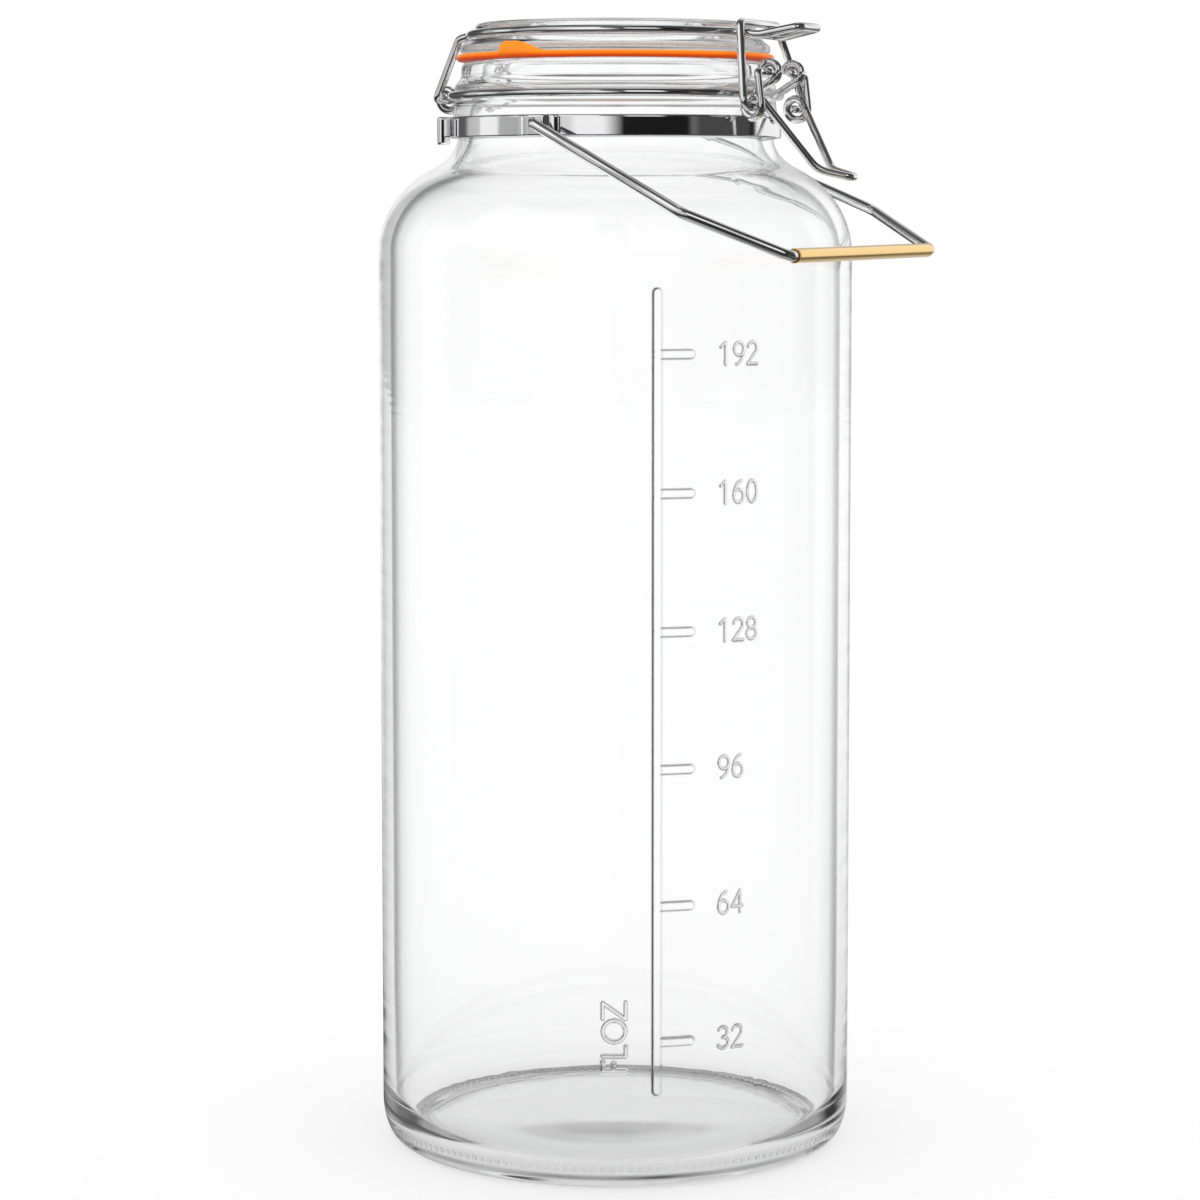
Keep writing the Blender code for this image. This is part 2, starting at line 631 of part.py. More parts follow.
def bail_half():
    """From the pin in the lever's coil up the arm to the middle of the crossbar, at +Y."""
    head_out = LID_RING_RADIUS + BAIL_HEAD_OUT
    dip_share = BAIL_HEAD_OUT / TONGUE_DIP_OUT
    head_height = (LID_RING_HEIGHT - TONGUE_DIP * dip_share + FRAME_WIRE_RADIUS
                   + BAIL_HEAD_CLEARANCE + CLAMP_WIRE_RADIUS)
    return rounded([
        Vector((BAIL_PIVOT.x, BAIL_PIN_INNER, BAIL_PIVOT.z)),
        Vector((BAIL_PIVOT.x, BAIL_FOOT_OFFSET, BAIL_PIVOT.z)),
        Vector((head_out, BAIL_HEAD_OFFSET, head_height)),
        Vector((head_out, 0, head_height)),
    ], [WIRE_BEND, WIRE_BEND])


half = bail_half()
latch_bail = wire("latch_bail", half + mirrored(half)[1:], CLAMP_WIRE_RADIUS, steel)


def band_outline():
    """Plan of the strap: almost a full circle, its two ends turned outwards as ears."""
    ear_root = BAND_OUTER_RADIUS + BAND_EAR
    half_gap = BAND_EAR_GAP / 2
    outer_angle = math.degrees((half_gap + BAND_THICKNESS) / BAND_OUTER_RADIUS)
    inner_angle = math.degrees(half_gap / BAND_INNER_RADIUS)
    outer = [polar(BAND_OUTER_RADIUS, outer_angle + (360.0 - 2 * outer_angle) * i / TURN_STEPS, 0)
             for i in range(TURN_STEPS + 1)]
    inner = [polar(BAND_INNER_RADIUS, inner_angle + (360.0 - 2 * inner_angle) * i / TURN_STEPS, 0)
             for i in range(TURN_STEPS + 1)]
    far_ear = [Vector((ear_root, -half_gap - BAND_THICKNESS, 0)), Vector((ear_root, -half_gap, 0))]
    near_ear = [Vector((ear_root, half_gap, 0)), Vector((ear_root, half_gap + BAND_THICKNESS, 0))]
    return outer + far_ear + list(reversed(inner)) + near_ear


handle_band = sheet("handle_band", band_outline(), BAND_BOTTOM, BAND_TOP, band_steel)
handle_band.rotation_euler.z = math.radians(CLASP_ANGLE)

# The clasp is a folded strip, pinched over the band's two ears
clasp_inner = BAND_EAR_GAP / 2 + BAND_THICKNESS + RUNNING_GAP
clasp_outer = clasp_inner + CLASP_THICKNESS
clasp_root = BAND_OUTER_RADIUS + 2 * RUNNING_GAP
clasp_fold = BAND_OUTER_RADIUS + BAND_EAR + RUNNING_GAP
band_clasp = sheet("band_clasp", [
    (clasp_root, clasp_inner),
    (clasp_fold, clasp_inner),
    (clasp_fold, -clasp_inner),
    (clasp_root, -clasp_inner),
    (clasp_root, -clasp_outer),
    (clasp_fold + CLASP_THICKNESS, -clasp_outer),
    (clasp_fold + CLASP_THICKNESS, clasp_outer),
    (clasp_root, clasp_outer),
], BAND_BOTTOM - CLASP_DROP, BAND_TOP, band_steel)
band_clasp.rotation_euler.z = math.radians(CLASP_ANGLE)


def handle_bracket(name, side):
    """A pressed bracket on the band, with the hole that the handle's end turns in."""
    low = BAND_OUTER_RADIUS + RUNNING_GAP
    high = low + BRACKET_RISE
    half_width = BRACKET_WIDTH / 2
    step = half_width - BRACKET_FLANGE
    crown = step - BRACKET_SLOPE
    under = [(-half_width, low), (-step, low), (-crown, high), (crown, high), (step, low),
             (half_width, low)]
    over = [(x, y + BRACKET_THICKNESS) for x, y in reversed(under)]
    outline = [(x, side * y) for x, y in under + over]
    plate = meshed(sheet(name, outline, BAND_BOTTOM, BAND_TOP, band_steel), band_steel)
    drill_mesh = bpy.data.meshes.new(name + "_drill")
    drill = bmesh.new()
    hole_radius = HANDLE_WIRE_RADIUS + EYE_CLEARANCE
    bmesh.ops.create_cone(drill, cap_ends=True, segments=DRILL_STEPS, radius1=hole_radius,
                          radius2=hole_radius, depth=2 * (BRACKET_THICKNESS + BRACKET_RISE))
    drill.to_mesh(drill_mesh)
    drill.free()
    cutter = new_object(name + "_drill", drill_mesh, None, cutters)
    cutter.location = (0, side * (high + BRACKET_THICKNESS / 2), HANDLE_PIVOT.z)
    cutter.rotation_euler.x = math.pi / 2
    boolean(plate, cutter, "DIFFERENCE")
    return plate


handle_bracket_front = handle_bracket("handle_bracket_front", -1)
handle_bracket_rear = handle_bracket("handle_bracket_rear", 1)


def handle_point(distance, offset):
    """A point of the handle's plane, which hangs towards the clamp at rest."""
    droop = math.radians(HANDLE_REST_ANGLE)
    return Vector((distance * math.cos(droop), offset,
                   HANDLE_PIVOT.z - distance * math.sin(droop)))


bracket_face = BAND_OUTER_RADIUS + RUNNING_GAP + BRACKET_RISE + BRACKET_THICKNESS
arm_offset = bracket_face + 2 * RUNNING_GAP + HANDLE_WIRE_RADIUS
half = rounded([
    handle_point(0, BAND_OUTER_RADIUS + RUNNING_GAP + HANDLE_END_INSET),
    handle_point(0, arm_offset),
    handle_point(HANDLE_REACH - HANDLE_BEND_BACK, HANDLE_BEND_OFFSET),
    handle_point(HANDLE_REACH, HANDLE_GRIP_OFFSET),
    handle_point(HANDLE_REACH, 0),
], [HANDLE_ROOT_BEND, HANDLE_ELBOW_BEND, HANDLE_CORNER_BEND])
handle_wire = wire("handle_wire", half + mirrored(half)[1:], HANDLE_WIRE_RADIUS, steel)

# The grip is a thin brass tube that turns freely on the wire
grip_inner = HANDLE_WIRE_RADIUS + GRIP_CLEARANCE
grip_outer = grip_inner + GRIP_WALL
grip_half = HANDLE_GRIP_OFFSET - HANDLE_CORNER_BEND / 2 - GRIP_END_GAP
handle_grip = turned("handle_grip", [
    (grip_outer, grip_half),
    (grip_outer, -grip_half),
    (grip_inner, -grip_half),
    (grip_inner, grip_half),
], brass)
handle_grip.modifiers["turn"].steps = TURN_STEPS // 2
handle_grip.modifiers["turn"].render_steps = TURN_STEPS // 2
handle_grip.location = handle_point(HANDLE_REACH, 0)
handle_grip.rotation_euler.x = math.pi / 2

# Pivots that carry what turns on them
hinge_axis = pivot("hinge_axis", HINGE_PIVOT)
lever_axis = pivot("lever_axis", LEVER_PIVOT)
bail_axis = pivot("bail_axis", BAIL_PIVOT)
handle_axis = pivot("handle_axis", HANDLE_PIVOT)
hang_on(hinge_axis, jar_lid, lid_gasket, lid_wire)
hang_on(bail_axis, latch_bail)
hang_on(lever_axis, latch_lever, bail_axis)
hang_on(handle_axis, handle_wire, handle_grip)
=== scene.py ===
"""Looks of a clip-top glass storage jar with a wire clamp and a swinging carry handle.

The sections follow the jar as it is put together: table and light, glass body, lid, seal,
neck wire, lid wire, clamp, strap, brackets, handle and grip. Lengths are in metres.
"""

import json
import math

import bpy
import numpy as np
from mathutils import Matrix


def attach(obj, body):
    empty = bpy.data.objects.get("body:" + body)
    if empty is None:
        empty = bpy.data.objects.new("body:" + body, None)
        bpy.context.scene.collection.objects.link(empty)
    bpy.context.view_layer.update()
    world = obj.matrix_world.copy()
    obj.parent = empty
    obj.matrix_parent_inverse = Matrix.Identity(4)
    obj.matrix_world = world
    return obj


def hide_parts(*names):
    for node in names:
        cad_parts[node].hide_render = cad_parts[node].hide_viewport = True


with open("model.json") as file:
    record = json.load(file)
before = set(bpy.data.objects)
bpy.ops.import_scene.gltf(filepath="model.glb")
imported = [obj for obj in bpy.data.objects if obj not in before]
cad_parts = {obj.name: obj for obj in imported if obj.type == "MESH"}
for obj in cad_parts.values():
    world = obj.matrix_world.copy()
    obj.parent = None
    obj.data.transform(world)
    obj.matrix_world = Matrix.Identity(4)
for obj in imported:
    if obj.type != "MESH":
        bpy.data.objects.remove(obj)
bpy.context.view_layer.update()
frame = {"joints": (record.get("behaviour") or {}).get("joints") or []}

# Camera: it stands to the front left of the clamp, a little below the lid, and looks
# slightly down. The lens is long, and the shift moves the jar's neck up in the picture.
CAMERA_AZIMUTH = -64.0
CAMERA_DISTANCE = 1.2577
CAMERA_HEIGHT = 0.3407
CAMERA_PITCH = 5.04
LENS_MM = 105.57
SENSOR_MM = 36.0
SHIFT_X = -0.01275
SHIFT_Y = -0.08375

camera_data = bpy.data.cameras.new("camera")
camera_data.sensor_width = SENSOR_MM
camera_data.lens = LENS_MM
camera_data.shift_x = SHIFT_X
camera_data.shift_y = SHIFT_Y
camera = bpy.data.objects.new("camera", camera_data)
bpy.context.scene.collection.objects.link(camera)
towards_camera = math.radians(CAMERA_AZIMUTH)
camera.location = (CAMERA_DISTANCE * math.cos(towards_camera),
                   CAMERA_DISTANCE * math.sin(towards_camera), CAMERA_HEIGHT)
camera.rotation_euler = (math.radians(90 - CAMERA_PITCH), 0, towards_camera + math.pi / 2)
bpy.context.scene.camera = camera
bpy.context.scene.view_settings.view_transform = "Standard"

# Surroundings: a white room. Glass shows white behind it, and what is mirrored is a ring of
# white and dark panels round the table, two soft boxes above them and a dark floor edge.
# Each tone has its place as a share of a full turn: 0.5 on the camera's side, 0 behind.
ROOM_LIGHT = 1.00
SEEN_WHITE = 1.03
OVERHEAD_GREY = 0.45
INNER_SHARE = 0.30
PANEL_TONES = (
    (0.000, 0.90), (0.048, 0.90), (0.062, 0.08), (0.148, 0.12), (0.164, 0.55), (0.200, 0.62),
    (0.206, 1.00), (0.252, 1.00), (0.260, 0.48), (0.300, 0.45), (0.360, 0.55), (0.415, 0.80),
    (0.425, 1.00), (0.478, 1.00), (0.515, 0.012), (0.640, 0.012), (0.653, 0.16), (0.668, 0.07),
    (0.790, 0.07), (0.798, 0.02), (0.808, 0.03), (0.822, 1.00), (0.938, 1.00), (0.955, 0.45),
    (0.975, 0.55), (1.000, 0.70),
)
UPPER_TONES = ((0.00, 0.35), (0.10, 0.10), (0.45, 0.16), (0.56, 0.10), (0.72, 0.03), (0.86, 0.20),
               (0.90, 0.85), (0.96, 0.85), (1.00, 0.35))
LOWER_TONES = ((0.00, 0.12), (0.30, 0.06), (0.55, 0.05), (0.80, 0.12), (0.88, 0.04), (0.93, 0.55),
               (0.985, 0.70), (1.00, 0.40))
# Pairs of a rising or falling direction's share of the vertical and the blend there.
UPPER_BLEND = ((0.34, 0.0), (0.52, 1.0))
LOWER_BLEND = ((0.10, 0.0), (0.24, 1.0))
UNDERSIDE_BLEND = ((0.70, 0.0), (0.88, 1.0))
UNDERSIDE_GREY = 0.42
OVERHEAD_FADE = ((0.0, SEEN_WHITE), (0.20, SEEN_WHITE), (0.65, OVERHEAD_GREY))
# Each soft box has four edges of its place and four of its rise: dark, lit, lit, dark.
SOFT_BOXES = (((0.261, 0.275, 0.458, 0.472), (0.20, 0.24, 0.78, 0.84)),
              ((0.514, 0.524, 0.590, 0.602), (0.12, 0.16, 0.58, 0.66)))


def feed(tree, target, inputs):
    """Gives inputs of a node, by name or number, each a socket to follow or a plain value.
    Colours are written as red, green and blue."""
    for key, value in inputs.items():
        socket = target.inputs[key]
        if hasattr(value, "is_linked"):
            tree.links.new(value, socket)
        else:
            socket.default_value = (*value, 1.0) if socket.type == "RGBA" else value


def node(tree, kind, inputs=None, **settings):
    """Adds a shader node, sets its properties by name and feeds its inputs."""
    made = tree.nodes.new(kind)
    for key, value in settings.items():
        setattr(made, key, value)
    feed(tree, made, inputs or {})
    return made


def computed(tree, operation, *values):
    """A Math node on numbers or sockets; returns its output."""
    return node(tree, "ShaderNodeMath", dict(enumerate(values)), operation=operation).outputs[0]


def ramp(tree, factor, stops):
    """A colour ramp of greys or colours along a factor; returns its colour."""
    made = node(tree, "ShaderNodeValToRGB", {0: factor})
    elements = made.color_ramp.elements
    while len(elements) < len(stops):
        elements.new(1.0)
    for element, (place, tone) in zip(elements, stops):
        element.position = place
        element.color = (*tone, 1.0) if isinstance(tone, tuple) else (tone, tone, tone, 1.0)
    return made.outputs[0]


def mixed(tree, factor, first, second):
    """A mix of two colours or sockets by a factor; returns its result. The Mix node takes
    colours at its inputs 6 and 7 and gives one at its output 2."""
    return node(tree, "ShaderNodeMix", {0: factor, 6: first, 7: second}, data_type="RGBA").outputs[2]


def window(tree, factor, edges):
    """A factor's trapezium: nought outside the outer two of four edges, one between the rest."""
    return ramp(tree, factor, ((edges[0], 0.0), (edges[1], 1.0), (edges[2], 1.0), (edges[3], 0.0)))


def bounced(tree, kind):
    """One for a ray with a bounce of this kind behind it, or else nought."""
    return computed(tree, "MINIMUM", node(tree, "ShaderNodeLightPath").outputs[kind + " Depth"], 1.0)


room = bpy.data.worlds.new("white_room")
bpy.context.scene.world = room
room.use_nodes = True
room.cycles.sampling_method = "NONE"
tree = room.node_tree
direction = node(tree, "ShaderNodeSeparateXYZ", {0: node(tree, "ShaderNodeTexCoord").outputs["Generated"]})
bearing = computed(tree, "ARCTAN2", direction.outputs[1], direction.outputs[0])
turned_share = computed(tree, "DIVIDE", computed(tree, "SUBTRACT", bearing, towards_camera), 2 * math.pi)
place = computed(tree, "FRACT", computed(tree, "ADD", turned_share, 1.5))
rise = direction.outputs[2]
fall = computed(tree, "MULTIPLY", rise, -1.0)
mirrored = mixed(tree, ramp(tree, rise, UPPER_BLEND),
                 ramp(tree, place, PANEL_TONES), ramp(tree, place, UPPER_TONES))
lower = mixed(tree, ramp(tree, fall, UNDERSIDE_BLEND),
              ramp(tree, place, LOWER_TONES), (UNDERSIDE_GREY,) * 3)
mirrored = mixed(tree, ramp(tree, fall, LOWER_BLEND), mirrored, lower)
for place_edges, rise_edges in SOFT_BOXES:
    lit = computed(tree, "MULTIPLY", window(tree, place, place_edges), window(tree, rise, rise_edges))
    mirrored = mixed(tree, lit, mirrored, (1.0,) * 3)
lost = computed(tree, "MULTIPLY", bounced(tree, "Transmission"), 1.0 - INNER_SHARE)
reflected = computed(tree, "MULTIPLY", bounced(tree, "Glossy"), computed(tree, "SUBTRACT", 1.0, lost))
behind = mixed(tree, reflected, ramp(tree, rise, OVERHEAD_FADE), mirrored)
behind = mixed(tree, bounced(tree, "Diffuse"), behind, (ROOM_LIGHT,) * 3)
behind = mixed(tree, node(tree, "ShaderNodeLightPath").outputs["Is Camera Ray"], behind, (1.0,) * 3)
feed(tree, tree.nodes["Background"], {"Color": behind})

# Table: a wide sheet of white paper. Its own faint glow is only for the eye, for mirrors
# and for glass, so that the paper runs into the white room and still takes a shadow.
TABLE_HALF_WIDTH = 4.0
PAPER_GLOW = 0.55
PAPER_WHITE = (0.48, 0.48, 0.48)


def new_material(name):
    """A material with nodes; returns it with its tree and its Principled shader."""
    made = bpy.data.materials.new(name)
    made.use_nodes = True
    return made, made.node_tree, made.node_tree.nodes["Principled BSDF"]


def mesh_object(name, points, faces, material):
    """A mesh of points and faces with one material, as an object in the scene."""
    mesh = bpy.data.meshes.new(name)
    mesh.from_pydata(points, [], faces)
    mesh.materials.append(material)
    made = bpy.data.objects.new(name, mesh)
    bpy.context.scene.collection.objects.link(made)
    return made


paper, tree, shader = new_material("white_paper")
path = node(tree, "ShaderNodeLightPath")
watched = computed(tree, "MAXIMUM", path.outputs["Is Camera Ray"],
                   computed(tree, "MAXIMUM", path.outputs["Is Glossy Ray"],
                            path.outputs["Is Transmission Ray"]))
feed(tree, shader, {"Base Color": PAPER_WHITE, "Roughness": 1.0, "Specular IOR Level": 0.0,
                    "Emission Color": (1.0,) * 3,
                    "Emission Strength": computed(tree, "MULTIPLY", watched, PAPER_GLOW)})
half = TABLE_HALF_WIDTH
table = mesh_object("table", [(-half, -half, 0), (half, -half, 0), (half, half, 0), (-half, half, 0)],
                    [(0, 1, 2, 3)], paper)
table.visible_glossy = False

# Glass body: one pressed piece of clear soda glass. The wall is 4 mm thick, the foot is
# rounded over a pushed-up base, with a fine dark line painted low down in the foot: painted
# shade for the contact shadow and dark reflections at the foot's lower curve. The filling
# scale stands proud of the wall as smooth ridges, with painted shade along their flanks.
BODY_RADIUS = 0.0842
BODY_WALL = 0.0040
FLOOR_LEVEL = 0.0030
FLOOR_CORNER_WIDTH = 0.0142
FLOOR_CORNER_HEIGHT = 0.0180
FLOOR_DOME = 0.0024
PUSH_UP = 0.0006
PUSH_UP_STEP = 0.0007
BEARING_HEIGHT = 0.0003
BEARING_RADIUS = 0.0700
FOOT_INSET = 0.0065
FOOT_RISE = 0.0140
STRAIGHT_HEIGHT = 0.3180
SHOULDER_RISE = 0.0340
SHOULDER_ANGLE = 62.0
NECK_ROOT_RADIUS = 0.0560
MOUTH_RADIUS = 0.0472
LIP_HEIGHT = 0.3853
NECK_RING_HEIGHT = 0.3735
SCALE_ANGLE = -54.4
MARK_SPACING = 0.04676
FIRST_MARK = 0.0519
MARKS = ("32", "64", "96", "128", "160", "192")
BAR_HALF_WIDTH = 0.0015
BAR_BOTTOM = 0.0337
BAR_TOP = 0.3078
TICK_HALF_WIDTH = 0.00145
TICK_LENGTH = 0.0131
DIGIT_HEIGHT = 0.0074
DIGIT_WIDTH = 0.0041
DIGIT_PITCH = 0.0054
DIGIT_START = 0.0220
LETTER_HEIGHT = 0.0078
LETTERS = (("F", 0.0420, 0.0043), ("L", 0.0471, 0.0047), ("O", 0.0522, 0.0076), ("Z", 0.0601, 0.0062))
LETTER_BASE = -0.0106
DIGIT_HALF_WIDTH = 0.00040
LETTER_HALF_WIDTH = 0.00052
STROKE_RELIEF = 0.00034
BAR_RELIEF = 0.00060
RIDGE_SLOPE = 0.00045
FLANK_WIDTH = 0.00080
RELIEF_MARGIN = 0.0014
FOOT_STEPS = 28
FOOT_LINE_HEIGHT = 0.0046
FOOT_LINE_WIDTH = 0.0022
# Rows of the wall's grid lie close across the strokes and the bar's ends.
STROKE_ROW = 0.00038
BAR_END_ROW = 0.0003
UNIT_FOOT_ROW = 0.004
WALL_END_ROW = 0.006
WALL_ROW = 0.008
# Its columns lie close across the strokes, the bar and the ticks' ends.
STROKE_COLUMN = 0.00034
BAR_COLUMN = 0.00026
TICK_END_COLUMN = 0.0004
PLAIN_TURN = 3.6
# Tints by how far the surface turns away from the ray, nought where it faces it. Their fall
# towards grazing is painted shade for the dark that the walls mirror and bend into view, a
# little of it the long path through a wall; the narrow band is painted dark where the inner
# wall begins to mirror what is inside the glass.
OUTER_TINT_AND_EDGE_SHADE = ((0.0, (0.997, 1.0, 0.999)), (0.80, (0.985, 0.988, 0.988)), (1.0, (0.84, 0.85, 0.85)))
INNER_TINT_AND_EDGE_SHADE = ((0.0, (0.997, 1.0, 0.999)), (0.60, (0.985, 0.988, 0.988)), (0.74, (0.74, 0.75, 0.75)),
              (0.81, (0.36, 0.37, 0.37)), (0.86, (0.05, 0.06, 0.06)), (1.0, (0.02, 0.02, 0.02)))
MIRROR_EDGE_SHADE = ((0.234, 1.0), (0.250, 0.12), (0.258, 0.12), (0.264, 1.0))
# Past this many mirrorings inside, the glass turns black and glows instead, between the two strengths of
# these noise bands: painted light for the light those long paths would carry.
INNER_MIRRORS = 3.5
PAINTED_GLOW_BANDS = ((0.44, 0.02), (0.58, 0.34))


def oval(centre_x, centre_y, wide, tall, first=0.0, last=360.0, steps=16):
    """Points of an ellipse between two angles in degrees, as an (n, 2) array."""
    turn = np.radians(np.linspace(first, last, steps + 1))
    return np.stack([centre_x + wide * np.cos(turn), centre_y + tall * np.sin(turn)], 1)


def glyph_strokes(sign):
    """The strokes of a sign in a box one wide and one high, as lists of points to join. A
    nine is a six turned upside down."""
    loop_of_six = oval(0.50, 0.30, 0.46, 0.30)
    stem_of_six = oval(0.84, 0.30, 0.80, 0.70, 180, 98, 8)
    strokes = {
        "0": [oval(0.50, 0.50, 0.46, 0.50)],
        "1": [np.array([(0.12, 0.80), (0.55, 1.0), (0.55, 0.0)])],
        "2": [np.concatenate([oval(0.50, 0.73, 0.44, 0.27, 165, -28, 10), [(0.02, 0.0), (1.0, 0.0)]])],
        "3": [oval(0.46, 0.755, 0.42, 0.245, 150, -90, 10), oval(0.46, 0.255, 0.50, 0.255, 90, -152, 10)],
        "4": [np.array([(0.74, 0.0), (0.74, 1.0), (0.0, 0.28), (1.0, 0.28)])],
        "6": [loop_of_six, stem_of_six],
        "8": [oval(0.50, 0.755, 0.40, 0.245), oval(0.50, 0.265, 0.47, 0.265)],
        "9": [1.0 - loop_of_six, 1.0 - stem_of_six],
        "F": [np.array([(0.05, 0.0), (0.05, 1.0), (0.82, 1.0)]), np.array([(0.05, 0.53), (0.68, 0.53)])],
        "L": [np.array([(0.05, 1.0), (0.05, 0.0), (0.78, 0.0)])],
        "O": [oval(0.50, 0.50, 0.50, 0.50)],
        "Z": [np.array([(0.04, 1.0), (0.92, 1.0), (0.02, 0.0), (0.96, 0.0)])],
    }
    return strokes[sign]


def digit_strokes():
    """The strokes of the scale's numbers, as (start, end) pairs in the wall's own plane:
    arc length from the bar and height."""
    pairs = []
    for place, label in enumerate(MARKS):
        foot = FIRST_MARK + MARK_SPACING * place - DIGIT_HEIGHT / 2
        for position, sign in enumerate(label):
            for points in glyph_strokes(sign):
                laid = points * (DIGIT_WIDTH, DIGIT_HEIGHT) + (DIGIT_START + DIGIT_PITCH * position, foot)
                pairs.append(np.stack([laid[:-1], laid[1:]], 1))
    return np.concatenate(pairs)


def letter_strokes():
    """The strokes of the unit's letters in the same plane, turned to read upwards."""
    pairs = []
    for sign, start, width in LETTERS:
        for points in glyph_strokes(sign):
            across, along = points[:, 1] * LETTER_HEIGHT, start + points[:, 0] * width
            laid = np.stack([LETTER_BASE - across, along], 1)
            pairs.append(np.stack([laid[:-1], laid[1:]], 1))
    return np.concatenate(pairs)


def distance_to_strokes(along, height, strokes):
    """Least distance from each point of a grid to a set of straight strokes: the foot of
    the perpendicular is held between each stroke's two ends."""
    nearest = np.full(along.shape, 1.0)
    for start, end in strokes:
        run = end - start
        low, high = np.minimum(start, end) - 0.002, np.maximum(start, end) + 0.002
        near = (along > low[0]) & (along < high[0]) & (height > low[1]) & (height < high[1])
        across, up = along[near] - start[0], height[near] - start[1]
        share = np.clip((across * run[0] + up * run[1]) / max(run @ run, 1e-12), 0, 1)
        nearest[near] = np.minimum(nearest[near], np.hypot(across - share * run[0], up - share * run[1]))
    return nearest


def ridge(distance, half_width, relief):
    """Height of a ridge with rounded flanks: full inside its half width, then a smooth
    cubic step down to the wall over the slope's width."""
    fall = np.clip((distance - half_width) / RIDGE_SLOPE + 0.5, 0, 1)
    return relief * (1 - fall * fall * (3 - 2 * fall))


def scale_relief(along, height):
    """How far the scale stands out of the wall at an arc length from the bar and a height,
    and how much painted shade its flanks get there: a dark line is painted along the flanks
    for the dark that a steep edge in clear glass shows, and less of it falls on flanks
    turned to the right or upwards."""
    bar = np.array([[(0, BAR_BOTTOM + BAR_HALF_WIDTH), (0, BAR_TOP - BAR_HALF_WIDTH)]])
    levels = FIRST_MARK + MARK_SPACING * np.arange(len(MARKS))
    ticks = np.stack([np.stack([np.zeros(len(MARKS)), levels], 1),
                      np.stack([np.full(len(MARKS), TICK_LENGTH - TICK_HALF_WIDTH), levels], 1)], 1)
    raised, flank = np.zeros(along.shape), np.zeros(along.shape)
    # The last three numbers of each row set the painted shade along the flanks: its level, and how much less
    # falls on flanks turned to the right and upwards.
    for strokes, half_width, relief, flank_width, shading in (
            (ticks, TICK_HALF_WIDTH, BAR_RELIEF, FLANK_WIDTH, (0.90, -0.50, 0.0)),
            (bar, BAR_HALF_WIDTH, BAR_RELIEF, 1.15 * FLANK_WIDTH, (1.0, -0.68, 0.0)),
            (digit_strokes(), DIGIT_HALF_WIDTH, STROKE_RELIEF, 0.75 * FLANK_WIDTH, (1.0, -0.60, -0.25)),
            (letter_strokes(), LETTER_HALF_WIDTH, STROKE_RELIEF, 0.75 * FLANK_WIDTH, (1.0, -0.35, -0.20))):
        distance = distance_to_strokes(along, height, strokes)
        rightward = np.gradient(distance, axis=1) / np.gradient(along, axis=1)
        upward = np.gradient(distance, axis=0) / np.gradient(height, axis=0)
        edge = np.exp(-((distance - half_width) / (0.5 * flank_width)) ** 4)
        level, right_share, top_share = shading
        raised = np.maximum(raised, ridge(distance, half_width, relief))
        flank = np.where(distance < half_width - 0.5 * flank_width, 0.0, flank)
        flank = np.maximum(flank, edge * (level + right_share * np.clip(rightward, 0, 1)
                                          + top_share * np.clip(upward, 0, 1)))
    return raised, flank


def stepped(edges, steps):
    """Rising values between successive edges, each stretch with its own largest step."""
    runs = [np.linspace(low, high, max(1, math.ceil((high - low) / step)) + 1)[:-1]
            for low, high, step in zip(edges, edges[1:], steps)]
    return np.concatenate(runs + [[edges[-1]]])


def unit(vectors):
    """A vector, or each row of vectors, brought to a length of one."""
    return vectors / np.linalg.norm(vectors, axis=-1, keepdims=True)


def bent(corners, radii, step=math.radians(8)):
    """A path whose inner corners are circular arcs. Each arc swings between its two tangent
    points about the centre that lies on the corner's bisector at radius / sin(half angle)."""
    corners = np.asarray(corners, float)
    runs = [corners[:1]]
    for before, corner, after, radius in zip(corners, corners[1:], corners[2:], radii):
        back, on = unit(before - corner), unit(after - corner)
        half_angle = math.acos(max(-1.0, min(1.0, float(back @ on)))) / 2
        centre = corner + unit(back + on) * radius / math.sin(half_angle)
        start = corner + back * radius / math.tan(half_angle) - centre
        end = corner + on * radius / math.tan(half_angle) - centre
        sweep = math.pi - 2 * half_angle
        share = np.linspace(0, 1, max(3, math.ceil(sweep / step) + 1))[:, None]
        arc = start * np.sin((1 - share) * sweep) + end * np.sin(share * sweep)
        runs.append(centre + arc / math.sin(sweep))
    runs.append(corners[-1:])
    return np.concatenate(runs)


def skin(name, rings, material, closed=False):
    """A smooth mesh over a grid of rings, shaped (rings, points, 3). Each ring is a loop. The
    first and last rings join when closed, or else each ends in a pole at its own middle."""
    count, around = rings.shape[:2]
    here = np.arange(around)
    following = (here + 1) % around
    rows = np.arange(count if closed else count - 1)[:, None]
    after = (rows + 1) % count
    quads = np.stack([rows * around + here, rows * around + following,
                      after * around + following, after * around + here], -1).reshape(-1, 4)
    points = rings.reshape(-1, 3)
    faces = quads.tolist()
    if not closed:
        first_pole, last_pole = len(points), len(points) + 1
        points = np.concatenate([points, rings[:1].mean(1), rings[-1:].mean(1)])
        last = (count - 1) * around
        faces += np.stack([np.full(around, first_pole), following, here], 1).tolist()
        faces += np.stack([last + here, last + following, np.full(around, last_pole)], 1).tolist()
    piece = mesh_object(name, points.tolist(), faces, material)
    piece.data.shade_smooth()
    return piece


def lathed(profile, angles):
    """Rings of a turned shape: each profile point (radius, height) goes round the axis."""
    radius, height = profile[:, :1], profile[:, 1:]
    return np.stack([radius * np.cos(angles), radius * np.sin(angles),
                     height * np.ones_like(angles)], -1)


def noise(tree, coordinates, stretch, detail=2.0):
    """A noise over object or UV coordinates, each first multiplied by its own stretch."""
    place = node(tree, "ShaderNodeTexCoord").outputs[coordinates]
    place = node(tree, "ShaderNodeMapping", {0: place, "Scale": stretch}).outputs[0]
    return node(tree, "ShaderNodeTexNoise", {"Vector": place, "Scale": 1.0, "Detail": detail}).outputs[0]


def bumped(tree, height, strength, depth):
    """The normal that a Bump node makes of a height."""
    return node(tree, "ShaderNodeBump",
                {"Strength": strength, "Distance": depth, "Height": height}).outputs[0]


